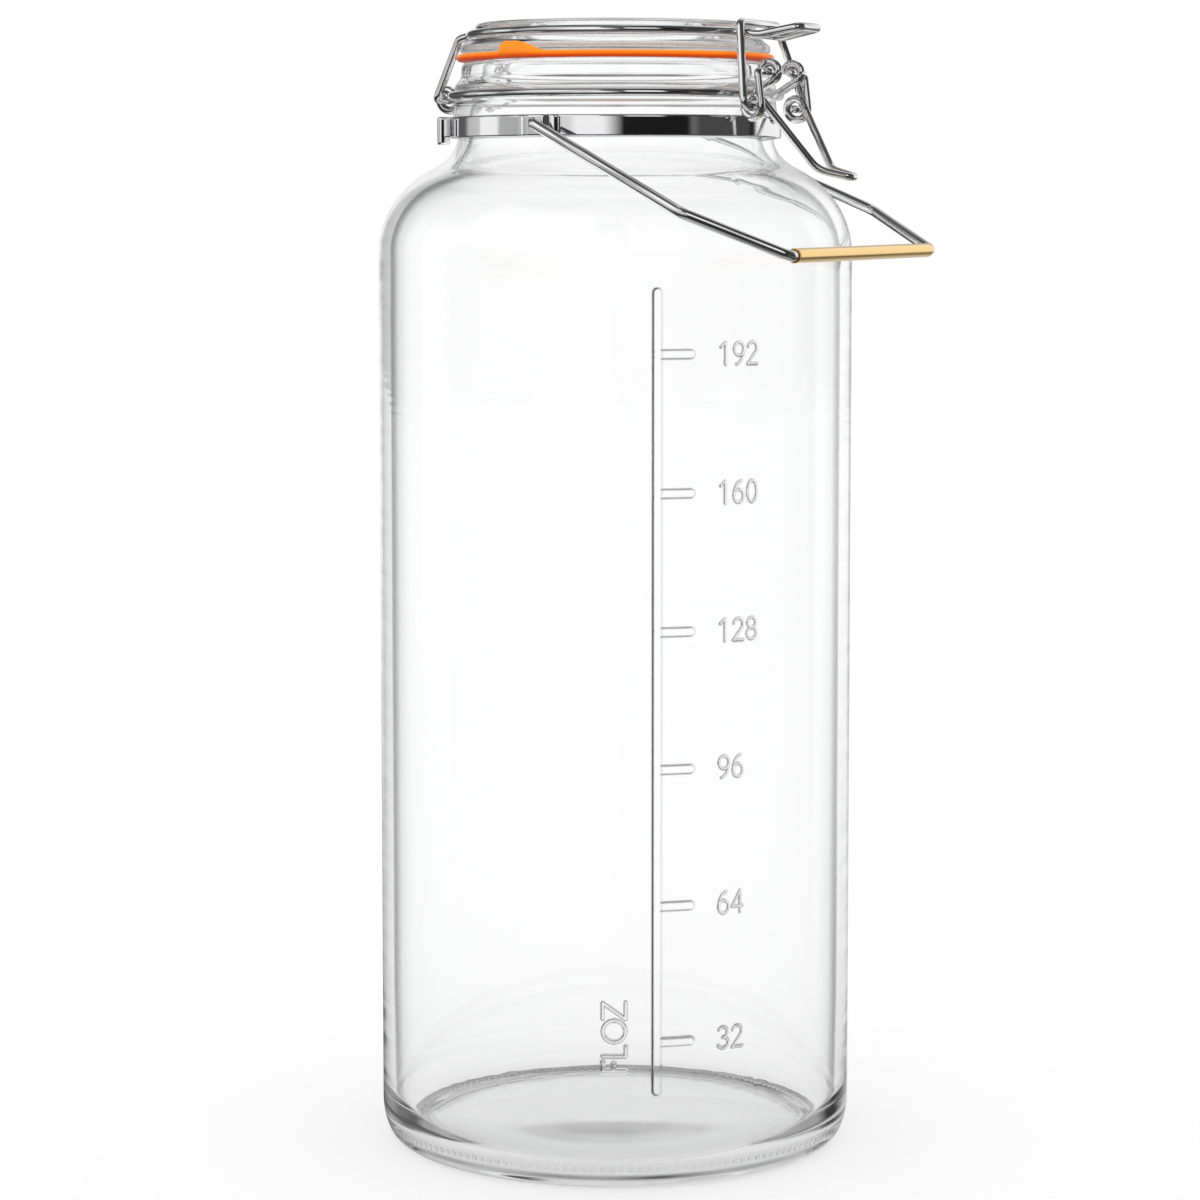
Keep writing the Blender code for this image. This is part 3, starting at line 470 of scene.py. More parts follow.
def clear_glass(name, ripple):
    """Clear pressed glass. Towards grazing views its colour falls to grey, and on the inner
    wall to near black: painted shade for the dark that the walls mirror and bend into view,
    a little of it the long path through a wall. A narrow band is painted dark where the inner
    wall begins to mirror what is inside the glass, and the ridges' flanks and a line in the
    foot take painted shade from an attribute. Wide flat ripples run round the piece at the
    given depth. Past a few mirrorings inside, the glass turns black and glows in soft dark
    and pale noise bands: painted light in place of light mirrored many times inside."""
    made, tree, shader = new_material(name)
    facing = node(tree, "ShaderNodeLayerWeight", {"Blend": 0.5}).outputs["Facing"]
    inside, flank = (node(tree, "ShaderNodeAttribute", attribute_name=attribute).outputs["Fac"]
                     for attribute in ("inside", "flank"))
    from_glass = node(tree, "ShaderNodeNewGeometry").outputs["Backfacing"]
    from_air = computed(tree, "SUBTRACT", 1.0, from_glass)
    spent = computed(tree, "GREATER_THAN", node(tree, "ShaderNodeLightPath").outputs["Glossy Depth"],
                     INNER_MIRRORS)
    # Painted shade: the colour darkens towards grazing views and along the painted lines, and turns black for
    # rays mirrored many times inside.
    tint_and_shade = ramp(tree, facing, OUTER_TINT_AND_EDGE_SHADE)
    for where, side, shade_there in ((inside, from_air, ramp(tree, facing, INNER_TINT_AND_EDGE_SHADE)),
                                    (inside, from_glass, ramp(tree, facing, MIRROR_EDGE_SHADE)),
                                    (flank, from_air, (0.0,) * 3)):
        tint_and_shade = mixed(tree, computed(tree, "MULTIPLY", where, side), tint_and_shade, shade_there)
    tint_and_shade = mixed(tree, spent, tint_and_shade, (0.0,) * 3)
    # Painted light: a glow in noise bands for rays mirrored many times inside.
    painted_glow = ramp(tree, noise(tree, "Object", (24.0, 24.0, 260.0)), PAINTED_GLOW_BANDS)
    feed(tree, shader, {"Roughness": 0.0, "IOR": 1.5, "Transmission Weight": 1.0, "Base Color": tint_and_shade,
                        "Specular Tint": tint_and_shade, "Emission Color": (1.0,) * 3,
                        "Emission Strength": computed(tree, "MULTIPLY", spent, painted_glow),
                        "Normal": bumped(tree, noise(tree, "Object", (9.0, 9.0, 160.0)), 1.0, ripple)})
    return made


def bezier(start, pull, end, steps):
    """A quadratic curve: the weights of its three points are (1-t)^2, 2t(1-t) and t^2."""
    t = np.linspace(0, 1, steps + 1)[:, None]
    return (1 - t) ** 2 * np.array(start) + 2 * t * (1 - t) * np.array(pull) + t ** 2 * np.array(end)


def body_profile():
    """The glass section as (radius, height): out under the base, up the outer side, over the
    lip, down the inner side and in along the floor. The shoulder is a quarter ellipse that a
    quadratic curve leads into the neck. Also gives the rows of the straight outer wall, and
    those of the inner side above the floor's corner."""
    base_radius = np.linspace(0.004, BEARING_RADIUS - 0.0030, 12)
    step = BEARING_HEIGHT + PUSH_UP_STEP
    base = np.stack([base_radius, step + PUSH_UP * (1 - (base_radius / BEARING_RADIUS) ** 2)], 1)
    ring = bent([base[-1], (BEARING_RADIUS - 0.0009, step), (BEARING_RADIUS, BEARING_HEIGHT),
                 (BODY_RADIUS - FOOT_INSET - 0.0006, BEARING_HEIGHT)], [0.0006, 0.0006], math.radians(20))[1:]
    base = np.concatenate([base, ring])
    foot = oval(BODY_RADIUS - FOOT_INSET, FOOT_RISE, FOOT_INSET, FOOT_RISE - BEARING_HEIGHT, -90, 0,
                FOOT_STEPS)
    digit_margin = DIGIT_HEIGHT / 2 + RELIEF_MARGIN
    _, first_start, _ = LETTERS[0]
    _, last_start, last_width = LETTERS[-1]
    edges = [FOOT_RISE, BAR_BOTTOM - 0.0010, BAR_BOTTOM + 0.0022, first_start - RELIEF_MARGIN,
             last_start + last_width + RELIEF_MARGIN]
    steps = [WALL_END_ROW, BAR_END_ROW, UNIT_FOOT_ROW, STROKE_ROW]
    for place in range(1, len(MARKS)):
        level = FIRST_MARK + MARK_SPACING * place
        edges += [level - digit_margin, level + digit_margin]
        steps += [WALL_ROW, STROKE_ROW]
    edges += [BAR_TOP - 0.002, BAR_TOP + 0.0006, STRAIGHT_HEIGHT]
    steps += [WALL_ROW, BAR_END_ROW, WALL_END_ROW]
    levels = stepped(edges, steps)[1:]
    wall = np.stack([np.full(len(levels), BODY_RADIUS), levels], 1)
    depth = BODY_RADIUS - MOUTH_RADIUS
    shoulder = oval(MOUTH_RADIUS, STRAIGHT_HEIGHT, depth, SHOULDER_RISE, 0, SHOULDER_ANGLE, 16)[1:]
    root = bezier(shoulder[-1], (NECK_ROOT_RADIUS, 0.3523), (NECK_ROOT_RADIUS, 0.3602), 10)
    ring = NECK_RING_HEIGHT
    neck = bent([(NECK_ROOT_RADIUS, 0.3602), (0.0576, 0.3616), (0.0578, 0.3660), (0.0571, ring - 0.0032),
                 (0.0571, ring - 0.0021), (0.0566, ring - 0.0010), (0.0566, ring + 0.0010),
                 (0.0571, ring + 0.0021), (0.0569, ring + 0.0036), (0.0549, ring + 0.0064),
                 (0.0545, LIP_HEIGHT), (MOUTH_RADIUS, LIP_HEIGHT), (MOUTH_RADIUS, 0.3806)],
                [0.0005, 0.0005, 0.0008, 0.0006, 0.0006, 0.0006, 0.0006, 0.0010, 0.0020, 0.0022,
                 0.0012, 0.0012], math.radians(12))
    outer_turn = np.concatenate([shoulder, root[1:]])[::-1]
    run = unit(np.gradient(outer_turn, axis=0))
    inner_turn = outer_turn + BODY_WALL * np.stack([run[:, 1], -run[:, 0]], 1)
    inner_root = np.concatenate([bezier(neck[-1], (MOUTH_RADIUS, 0.3768), (0.0494, 0.3742), 8)[:-1],
                                 bezier((0.0494, 0.3742), (inner_turn[0, 0], 0.3713), inner_turn[0], 8)])
    inner_wall = np.stack([np.full(8, BODY_RADIUS - BODY_WALL),
                           np.linspace(STRAIGHT_HEIGHT, FLOOR_LEVEL + FLOOR_CORNER_HEIGHT, 9)[1:]], 1)
    corner = oval(BODY_RADIUS - BODY_WALL - FLOOR_CORNER_WIDTH, FLOOR_LEVEL + FLOOR_CORNER_HEIGHT,
                  FLOOR_CORNER_WIDTH, FLOOR_CORNER_HEIGHT, 0, -90, 14)[1:]
    floor_radius = np.linspace(corner[-1, 0], 0.004, 14)[1:]
    floor = np.stack([floor_radius, FLOOR_LEVEL + FLOOR_DOME
                      * (1 - (floor_radius / corner[-1, 0]) ** 2) ** 2], 1)
    before_wall = len(base) + len(foot)
    before_inside = before_wall + len(wall) + len(shoulder) + len(root) + len(neck) - 3
    profile = np.concatenate([base, foot, wall, shoulder, root[1:], neck[1:], inner_root[1:],
                              inner_turn[1:], inner_wall, corner, floor])
    inside_rows = slice(before_inside, len(profile) - len(corner) - len(floor))
    return profile, slice(before_wall, before_wall + len(levels)), inside_rows


profile, wall_rows, inside_rows = body_profile()
degree = math.degrees(1 / BODY_RADIUS)
scale_edges = [LETTER_BASE - LETTER_HEIGHT - RELIEF_MARGIN, LETTER_BASE + RELIEF_MARGIN,
               -BAR_HALF_WIDTH - RELIEF_MARGIN, BAR_HALF_WIDTH + RELIEF_MARGIN,
               TICK_LENGTH - 0.0022, TICK_LENGTH + RELIEF_MARGIN, DIGIT_START - RELIEF_MARGIN,
               DIGIT_START + 2 * DIGIT_PITCH + DIGIT_WIDTH + RELIEF_MARGIN]
angle_edges = [SCALE_ANGLE + edge * degree for edge in scale_edges]
angle_edges.append(angle_edges[0] + 360)
angle_steps = []
for column in (STROKE_COLUMN, BAR_COLUMN, TICK_END_COLUMN, STROKE_COLUMN):
    angle_steps += [column * degree, PLAIN_TURN]
columns = np.radians(stepped(angle_edges, angle_steps)[:-1])
rings = lathed(profile, columns)
along = (columns - math.radians(SCALE_ANGLE)) * BODY_RADIUS
grown, flank = scale_relief(*np.broadcast_arrays(along, profile[wall_rows, 1:]))
rings[wall_rows, :, 0] += grown * np.cos(columns)
rings[wall_rows, :, 1] += grown * np.sin(columns)
body_glass = clear_glass("pressed_body_glass", 0.00002)
glass_body = skin("glass_body", rings, body_glass)
# The attribute below holds painted shade: dark lines along the scale's flanks and a dark
# line low in the foot. The foot's line is uneven: its mean darkness has three waves round the jar.
painted_shade_lines = np.zeros((len(profile), len(columns)))
painted_shade_lines[wall_rows] = flank
foot_rows = slice(wall_rows.start - FOOT_STEPS - 1, wall_rows.start)
painted_foot_line = np.exp(-((profile[foot_rows, 1:] - FOOT_LINE_HEIGHT) / (0.5 * FOOT_LINE_WIDTH)) ** 4)
painted_shade_lines[foot_rows] = painted_foot_line * (0.62 + 0.22 * np.cos(2 * columns + 2.2) + 0.08 * np.sin(5 * columns)
                                    + 0.08 * np.sin(13 * columns + 1.0))
inside = np.zeros(painted_shade_lines.shape)
inside[inside_rows] = 1.0
# The first attribute carries the painted shade lines; the inside one marks the inner wall's rows.
for name, values in (("flank", painted_shade_lines), ("inside", inside)):
    values = np.concatenate([values.ravel(), [0.0, 0.0]])
    glass_body.data.attributes.new(name, "FLOAT", "POINT").data.foreach_set("value", values)
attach(glass_body, "jar")
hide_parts("jar_body")

# Foot knurls: short ribs pressed into the glass of the bearing ring, which the jar stands
# on, so that the hot foot doesn't craze. They stand just below the ring and run radially.
KNURL_COUNT = 144
KNURL_RADIUS = 0.0745
KNURL_LENGTH = 0.0034
KNURL_WIDTH = 0.0018
KNURL_FOOT = 0.00004
KNURL_SIDES = 8

knurl_turn = np.radians(np.arange(0, 360, 360 / KNURL_SIDES))
# share of the length and width, height
knurl_section = np.array([(1.0, BEARING_HEIGHT + 0.0001), (0.95, BEARING_HEIGHT * 0.6), (0.55, KNURL_FOOT)])
knurl = np.stack([KNURL_RADIUS + KNURL_LENGTH / 2 * knurl_section[:, :1] * np.cos(knurl_turn),
                  KNURL_WIDTH / 2 * knurl_section[:, :1] * np.sin(knurl_turn),
                  np.repeat(knurl_section[:, 1:], len(knurl_turn), 1)], -1).reshape(-1, 3)
stand = 2 * np.pi * np.arange(KNURL_COUNT)[:, None] / KNURL_COUNT
knurl_points = np.stack([knurl[:, 0] * np.cos(stand) - knurl[:, 1] * np.sin(stand),
                         knurl[:, 0] * np.sin(stand) + knurl[:, 1] * np.cos(stand),
                         np.broadcast_to(knurl[:, 2], (KNURL_COUNT, len(knurl)))], -1)
here = np.arange(KNURL_SIDES)
after = (here + 1) % KNURL_SIDES
sides = np.concatenate([np.stack([here + row, here + row + KNURL_SIDES, after + row + KNURL_SIDES,
                                  after + row], 1) for row in (0, KNURL_SIDES)])
ends = np.stack([here, here[::-1] + 2 * KNURL_SIDES])
first_corner = len(knurl) * np.arange(KNURL_COUNT)[:, None, None]
knurl_faces = ((sides + first_corner).reshape(-1, 4).tolist()
               + (ends + first_corner).reshape(-1, KNURL_SIDES).tolist())
knurls = mesh_object("foot_knurls", knurl_points.reshape(-1, 3).tolist(), knurl_faces, body_glass)
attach(knurls, "jar")
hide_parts("jar_body")

# Lid: a pressed glass disc. Its rim holds the lid wire, its flange presses on the seal,
# and a ring underneath drops into the mouth to centre it.
LID_BOTTOM = 0.3883
LID_SEAT = 0.3932
LID_TOP = 0.3990
LID_FLANGE_RADIUS = 0.0550
LID_RIM_RADIUS = 0.0498
PLUG_RADIUS = 0.0446

lid_section = bent([
    (0.0040, 0.3897), (0.0388, 0.3897), (0.0400, 0.3832), (0.0414, 0.3825), (0.0434, 0.3830),
    (PLUG_RADIUS, LID_BOTTOM), (LID_FLANGE_RADIUS, LID_BOTTOM), (LID_FLANGE_RADIUS, 0.3908),
    (0.0522, LID_SEAT), (LID_RIM_RADIUS - 0.0002, LID_SEAT), (LID_RIM_RADIUS, LID_TOP),
    (0.0455, LID_TOP), (0.0430, 0.3952), (0.0040, 0.3950),
], [0.0020, 0.0012, 0.0008, 0.0014, 0.0006, 0.0010, 0.0012, 0.0012, 0.0006, 0.0016, 0.0014, 0.0018],
    math.radians(12))
around_lid = np.radians(np.arange(0, 360, 2.0))
lid_glass = clear_glass("pressed_lid_glass", 0.00005)
glass_lid = skin("glass_lid", lathed(lid_section, around_lid), lid_glass)
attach(glass_lid, "lid")
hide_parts("jar_lid")

# Seal: a moulded orange rubber ring with a wedge-shaped outer edge, squeezed between lid
# and lip. At one place the edge swells into a pull tab that stands up beside the flange.
SEAL_INNER = 0.0500
SEAL_RADIUS = 0.0565
SEAL_BOTTOM = 0.3856
SEAL_TOP = 0.3880
TAB_ANGLE = -101.0
TAB_RISE = 0.0034
TAB_REACH = 0.0012
# Colours up the seal's height: the deep red at the bottom is painted shade, the paler orange near the top a
# painted highlight.
RUBBER_PAINTED_LIGHT_BY_HEIGHT = ((0.0, (0.62, 0.035, 0.006)), (0.12, (0.90, 0.085, 0.004)),
                    (0.24, (1.0, 0.190, 0.003)), (0.38, (1.0, 0.310, 0.030)), (1.0, (1.0, 0.300, 0.008)))
RUBBER_GRAIN = (1.0, 0.20, 0.01)
# The pale colour that mirrors and glass show in place of the orange: a painted reflection.
PAINTED_RUBBER_REFLECTION = (0.82, 0.76, 0.72)
PALE_SHARE = 0.85


def orange_rubber():
    """Soft moulded rubber: a saturated orange, satin, with a fine grain. It is deeper below and
    paler on the tab's edge: painted shade underneath and a painted highlight above. It glows
    faintly, painted light that lifts it out of the shade of lid and lip, though the rubber is
    also a little translucent. Mirrors and the glass round it show it pale: a painted
    reflection in place of its orange."""
    made, tree, shader = new_material("orange_seal_rubber")
    grain = noise(tree, "Object", (900.0, 900.0, 900.0), 3.0)
    level = node(tree, "ShaderNodeSeparateXYZ", {0: node(tree, "ShaderNodeTexCoord").outputs["Object"]})
    rise = node(tree, "ShaderNodeMapRange", {"Value": level.outputs[2], "From Min": SEAL_BOTTOM,
                                             "From Max": SEAL_TOP + TAB_RISE})
    # The colour by height carries painted shade below and a painted highlight above; the grain lies over it.
    colour = mixed(tree, computed(tree, "MULTIPLY", grain, 0.2),
                   ramp(tree, rise.outputs[0], RUBBER_PAINTED_LIGHT_BY_HEIGHT), RUBBER_GRAIN)
    # Painted reflection: rays that come by a mirror see the rubber pale.
    painted_reflection_share = computed(tree, "MULTIPLY", PALE_SHARE, bounced(tree, "Glossy"))
    colour = mixed(tree, painted_reflection_share, colour, PAINTED_RUBBER_REFLECTION)
    # The emission is painted light: a faint glow in the rubber's own colour.
    feed(tree, shader, {"Base Color": colour, "Emission Color": colour, "Emission Strength": 0.24,
                        "Roughness": ramp(tree, grain, ((0.3, 0.34), (0.7, 0.44))),
                        "Specular IOR Level": 0.10, "Normal": bumped(tree, grain, 0.25, 0.00003)})
    return made


def seal_rings(angles):
    """Sections of the seal. The outer edge's upper points rise with the tab's height, which
    climbs steeply on one side of the tab and falls slowly on the other."""
    offset = np.degrees(angles) - TAB_ANGLE
    climb = np.clip((offset + 8.6) / 4.2, 0, 1)
    fall = np.clip((12.4 - offset) / 13.0, 0, 1)
    lift = (np.sqrt(1 - (1 - climb) ** 2) * (fall * fall * (3 - 2 * fall)))[:, None]
    # radius, height, share of the tab's rise, share of the tab's reach
    section = np.array([
        (SEAL_INNER, SEAL_BOTTOM + 0.0004, 0, 0), (SEAL_INNER + 0.0004, SEAL_BOTTOM, 0, 0),
        (0.0550, SEAL_BOTTOM, 0, 0), (0.0557, SEAL_BOTTOM + 0.00015, 0, 0.1),
        (SEAL_RADIUS - 0.00012, SEAL_BOTTOM + 0.0008, 0.05, 0.6),
        (SEAL_RADIUS, SEAL_BOTTOM + 0.00105, 0.12, 0.8),
        (SEAL_RADIUS - 0.00018, SEAL_BOTTOM + 0.00135, 0.6, 1.0), (0.0561, SEAL_TOP - 0.0005, 0.92, 1.0),
        (0.0557, SEAL_TOP - 0.00010, 1.0, 0.9), (0.0552, SEAL_TOP - 0.00002, 0.99, 0.6),
        (0.0549, SEAL_TOP, 0.75, 0.5), (0.0547, SEAL_TOP, 0.0, 0.4), (0.0540, SEAL_TOP, 0, 0),
        (SEAL_INNER + 0.0004, SEAL_TOP, 0, 0), (SEAL_INNER, SEAL_TOP - 0.0004, 0, 0),
    ])
    radius = section[:, 0] + lift * TAB_REACH * section[:, 3]
    height = section[:, 1] + lift * TAB_RISE * section[:, 2]
    return np.stack([radius * np.cos(angles)[:, None], radius * np.sin(angles)[:, None], height], -1)


seal_angles = np.radians(stepped([TAB_ANGLE - 9, TAB_ANGLE + 13, TAB_ANGLE + 351], [0.2, 2.0])[:-1])
seal = skin("rubber_seal", seal_rings(seal_angles)[::-1], orange_rubber(), closed=True)
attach(seal, "lid")
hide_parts("lid_gasket")

# Neck wire: a ring of hard-drawn steel wire in the neck's groove. Its two ends curl into
# eyes for the lever at the front, and at the back it makes a coil on each side for the lid.
FRAME_WIRE = 0.0015
CLAMP_WIRE = 0.0014
NECK_RING_RADIUS = 0.0584
EYE_SIDE = 0.0100
HINGE_COIL_SIDE = 0.0088
HINGE_COIL_STEP = 0.0032
HINGE_RETURN_SIDE = 0.0052
WIRE_BEND = 0.0024
LONG_STRAIGHT = 0.0030
STRAIGHT_MARGIN = 0.0006
PIN_BEND = 0.0019
joint_place = {joint["name"]: np.array(joint["pos_m"]) for joint in frame["joints"]}


def drawn_steel(name, tone, roughness):
    """Bright drawn wire: the die leaves fine lines along it, which break up its mirror."""
    made, tree, shader = new_material(name)
    lines = noise(tree, "UV", (40.0, 9.0, 1.0), 3.0)
    low = tuple(0.50 * part for part in tone)
    feed(tree, shader, {"Metallic": 1.0, "Base Color": ramp(tree, lines, ((0.38, low), (0.56, tone))),
                        "Roughness": ramp(tree, lines, ((0.3, 0.7 * roughness), (0.7, 1.4 * roughness))),
                        "Normal": bumped(tree, lines, 0.20, 0.00001)})
    return made


def wire(name, path, radius, material, lean, sides=20):
    """A round wire along a path. Each ring lies square to the path, and its first arm is the
    lean vector's part square to the path; the ends close in a small chamfer. A long straight
    has a ring close to each end, which keeps its shading even. The piece's UV map holds the
    length along the wire in metres and the share of the way round."""
    path = path[np.concatenate([[True], np.linalg.norm(np.diff(path, axis=0), axis=1) > 1e-6])]
    points = [path[0]]
    for start, end in zip(path, path[1:]):
        margin = STRAIGHT_MARGIN * unit(end - start)
        if np.linalg.norm(end - start) > LONG_STRAIGHT:
            points += [start + margin, end - margin]
        points.append(end)
    path = np.array(points)
    start_out, end_out = unit(path[0] - path[1]), unit(path[-1] - path[-2])
    chamfer = 0.25 * radius
    path = np.concatenate([[path[0], path[0] - start_out * chamfer], path[1:-1],
                           [path[-1] - end_out * chamfer, path[-1]]])
    radii = np.full(len(path), radius)
    radii[[0, -1]] = radius - chamfer
    heading = np.gradient(path, axis=0)
    heading[[0, -1]] = -start_out, end_out
    heading = unit(heading)
    lean = np.array(lean, float)
    first = unit(lean - (heading @ lean)[:, None] * heading)
    second = np.cross(heading, first)
    turn = np.linspace(0, 2 * np.pi, sides, endpoint=False)[None, :, None]
    rings = (path[:, None] + radii[:, None, None]
             * (np.cos(turn) * first[:, None] + np.sin(turn) * second[:, None]))
    piece = skin(name, rings, material)
    travelled = np.concatenate([[0], np.cumsum(np.linalg.norm(np.diff(path, axis=0), axis=1))])
    corners = np.zeros(len(piece.data.loops), int)
    piece.data.loops.foreach_get("vertex_index", corners)
    ring_number = np.minimum(corners // sides, len(path) - 1)
    place_round = np.abs((corners % sides) / sides * 2 - 1)
    uv = np.stack([travelled[ring_number], place_round], 1)
    piece.data.uv_layers.new(name="length").data.foreach_set("uv", uv.ravel())
    return piece


def both_sides(half):
    """A path and its mirror image in the plane Y = 0, joined at the half's last point."""
    return np.concatenate([half, (half * (1, -1, 1))[-2::-1]])


def coil(centre, radius, first, last, first_side, last_side):
    """A helix about an axis along Y between two angles in degrees: angle and side run
    evenly with the share of the way."""
    share = np.linspace(0, 1, math.ceil(abs(last - first) / 8) + 1)
    turn = np.radians(first + (last - first) * share)
    return np.stack([centre[0] + radius * np.cos(turn), first_side + (last_side - first_side) * share,
                     centre[2] + radius * np.sin(turn)], 1)


def touch(centre, radius, outside, side):
    """The angle in degrees at which a straight wire from a point outside meets a coil."""
    away = np.array([outside[0] - centre[0], outside[2] - centre[2]])
    return math.degrees(math.atan2(away[1], away[0]) + side * math.acos(radius / np.linalg.norm(away)))


def level_ring(radius, height, first, last):
    """An arc of a level ring between two angles in degrees."""
    turn = np.radians(np.linspace(first, last, math.ceil(abs(last - first) / 2) + 1))
    return lathed(np.array([[radius, height]]), turn)[0]


def neck_wire_half():
    """From the lever's eye round the neck to the middle of the back, on the +Y side."""
    lever, hinge = joint_place["lever_pivot"], joint_place["lid_hinge"]
    reach = NECK_RING_RADIUS - 0.0009
    level = NECK_RING_HEIGHT
    eye_radius = CLAMP_WIRE + 0.00035 + FRAME_WIRE
    front = np.array([reach, EYE_SIDE + 0.0006, level])
    eye_start = touch(lever, eye_radius, front, 1)
    eye = coil(lever, eye_radius, eye_start + 245, eye_start, EYE_SIDE, EYE_SIDE)
    hinge_radius = 2 * FRAME_WIRE + 0.0006
    back = np.array([-reach, HINGE_COIL_SIDE + 0.0012, level])
    return_bend = np.array([-NECK_RING_RADIUS, HINGE_RETURN_SIDE, level])
    hinge_coil = coil(hinge, hinge_radius, touch(hinge, hinge_radius, back, 1),
                      touch(hinge, hinge_radius, return_bend, -1) + 360,
                      HINGE_COIL_SIDE + HINGE_COIL_STEP / 2, HINGE_COIL_SIDE - HINGE_COIL_STEP / 2)
    ring = level_ring(NECK_RING_RADIUS, level, 15.0, 166.5)
    into_ring = bent([eye[-1], front, ring[0], ring[1]], [WIRE_BEND, WIRE_BEND])
    into_coil = bent([ring[-1], back, hinge_coil[0]], [WIRE_BEND])
    out_of_coil = bent([hinge_coil[-1], return_bend, (-NECK_RING_RADIUS, 0, level)], [WIRE_BEND])
    return np.concatenate([eye[:-1], into_ring[:-1], ring[1:-1], into_coil[:-1], hinge_coil,
                           out_of_coil[1:]])


frame_steel = drawn_steel("drawn_frame_wire", (0.90, 0.90, 0.91), 0.06)
neck_wire = wire("neck_ring_wire", both_sides(neck_wire_half()), FRAME_WIRE, frame_steel,
                 (0.05, 0.02, 1.0))
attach(neck_wire, "jar")
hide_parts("neck_wire")

# Lid wire: a ring of the neck's wire in the lid's seat. At the back it runs down as two
# legs and turns inwards through the neck's coils, and at the front it makes the tongue.
LID_RING_RADIUS = 0.0516
LID_RING_HEIGHT = 0.3950
HINGE_LEG_SIDE = 0.0180
HINGE_PIN_END = 0.0042
TONGUE_BEND = 0.0036


def lid_wire_half():
    """From the hinge pin up the leg, round the lid and out along the thumb tongue, at +Y."""
    hinge = joint_place["lid_hinge"]
    leg, level = HINGE_LEG_SIDE, LID_RING_HEIGHT
    ring = level_ring(LID_RING_RADIUS, level, 153.0, 22.5)
    hinge_end = bent([
        (hinge[0], HINGE_PIN_END, hinge[2]), (hinge[0], leg, hinge[2]),
        (-LID_RING_RADIUS - 0.0016, leg, level - 0.0012), (-LID_RING_RADIUS + 0.0028, leg, level),
        ring[0], ring[1],
    ], [PIN_BEND, WIRE_BEND, WIRE_BEND, WIRE_BEND])
    tip = LID_RING_RADIUS + 0.0228
    tongue = bent([
        ring[-2], ring[-1], (LID_RING_RADIUS - 0.0010, 0.0124, level),
        (LID_RING_RADIUS + 0.0087, 0.0108, level - 0.0013),
        (tip, 0.0085, level + 0.0014), (tip, 0, level + 0.0014),
    ], [TONGUE_BEND, TONGUE_BEND, 3 * TONGUE_BEND, WIRE_BEND])
    return np.concatenate([hinge_end[:-1], ring[1:-2], tongue])


lid_wire = wire("lid_ring_wire", both_sides(lid_wire_half()), FRAME_WIRE, frame_steel,
                (0.05, 0.02, 1.0))
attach(lid_wire, "lid")
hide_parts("lid_wire")

# Lever: one drawn steel wire from the pivot pin down a leg, once round the bail's pin and
# along the arm to the looped thumb end, then back the same way on the other side.
LEVER_PIN_INNER = 0.0072
LEVER_LEG_SIDE = 0.0205
LEVER_COIL_STEP = 0.0033


def lever_half():
    """From the pivot pin down the leg, round the coil and along the arm, on the +Y side."""
    pivot, pin = joint_place["lever_pivot"], joint_place["bail_pivot"]
    coil_radius = 2 * CLAMP_WIRE + 0.0008
    elbow = np.array([NECK_RING_RADIUS + 0.0222, 0.0066, NECK_RING_HEIGHT - 0.0261])
    tip = np.array([NECK_RING_RADIUS + 0.0324, 0.0024, NECK_RING_HEIGHT - 0.0286])
    leg_top = np.array([pivot[0], LEVER_LEG_SIDE, pivot[2]])
    turn = coil(pin, coil_radius, touch(pin, coil_radius, leg_top, -1),
                touch(pin, coil_radius, elbow, 1) - 360, LEVER_LEG_SIDE,
                LEVER_LEG_SIDE - LEVER_COIL_STEP)
    down = bent([(pivot[0], LEVER_PIN_INNER, pivot[2]), leg_top, turn[0]], [PIN_BEND])
    arm = bent([turn[-1], elbow, tip, tip * (1, 0, 1)], [0.0090, 0.0021])
    return np.concatenate([down[:-1], turn[:-1], arm])


clamp_steel = drawn_steel("drawn_clamp_wire", (0.89, 0.89, 0.90), 0.055)
lever = wire("clamp_lever", both_sides(lever_half()), CLAMP_WIRE, clamp_steel, (0.9, 0.03, 0.43))
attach(lever, "lever")
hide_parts("latch_lever")

# Bail: a loop of the lever's wire, whose ends turn in the lever's coils. Its crossbar
# lies over the tongue's root and pulls the lid down.
BAIL_PIN_INNER = 0.0156
BAIL_FOOT_SIDE = 0.0272
BAIL_HEAD_SIDE = 0.0160

pin = joint_place["bail_pivot"]
head = (0.0554, BAIL_HEAD_SIDE, 0.3979)
bail_path = bent([(pin[0], BAIL_PIN_INNER, pin[2]), (pin[0], BAIL_FOOT_SIDE, pin[2]), head,
                  (head[0], 0, head[2])], [WIRE_BEND, WIRE_BEND])
bail = wire("clamp_bail", both_sides(bail_path), CLAMP_WIRE, clamp_steel, (1.0, 0.03, 0.03))
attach(bail, "bail")
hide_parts("latch_bail")

# Strap: a thin polished steel band round the root of the neck. Its ends turn outwards at
# the back left and are held by a folded clasp.
BAND_BOTTOM = 0.3586
BAND_TOP = 0.3660
BAND_INNER = 0.0582
BAND_OUTER = 0.0590
CLASP_ANGLE = -143.0
EAR_LENGTH = 0.0036
EAR_GAP = 0.0008
EASED_SHARE = 0.45
CORNER_SHARE = 0.06


def polished_strip(name, tone, roughness):
    """Polished rolled steel strip: nearly a mirror, with faint lines along the rolling."""
    made, tree, shader = new_material(name)
    lines = noise(tree, "Object", (30.0, 30.0, 4000.0))
    low = tuple(0.94 * part for part in tone)
    feed(tree, shader, {"Metallic": 1.0, "Base Color": mixed(tree, lines, low, tone),
                        "Roughness": ramp(tree, lines, ((0.35, 0.6 * roughness), (0.65, 1.5 * roughness)))})
    return made


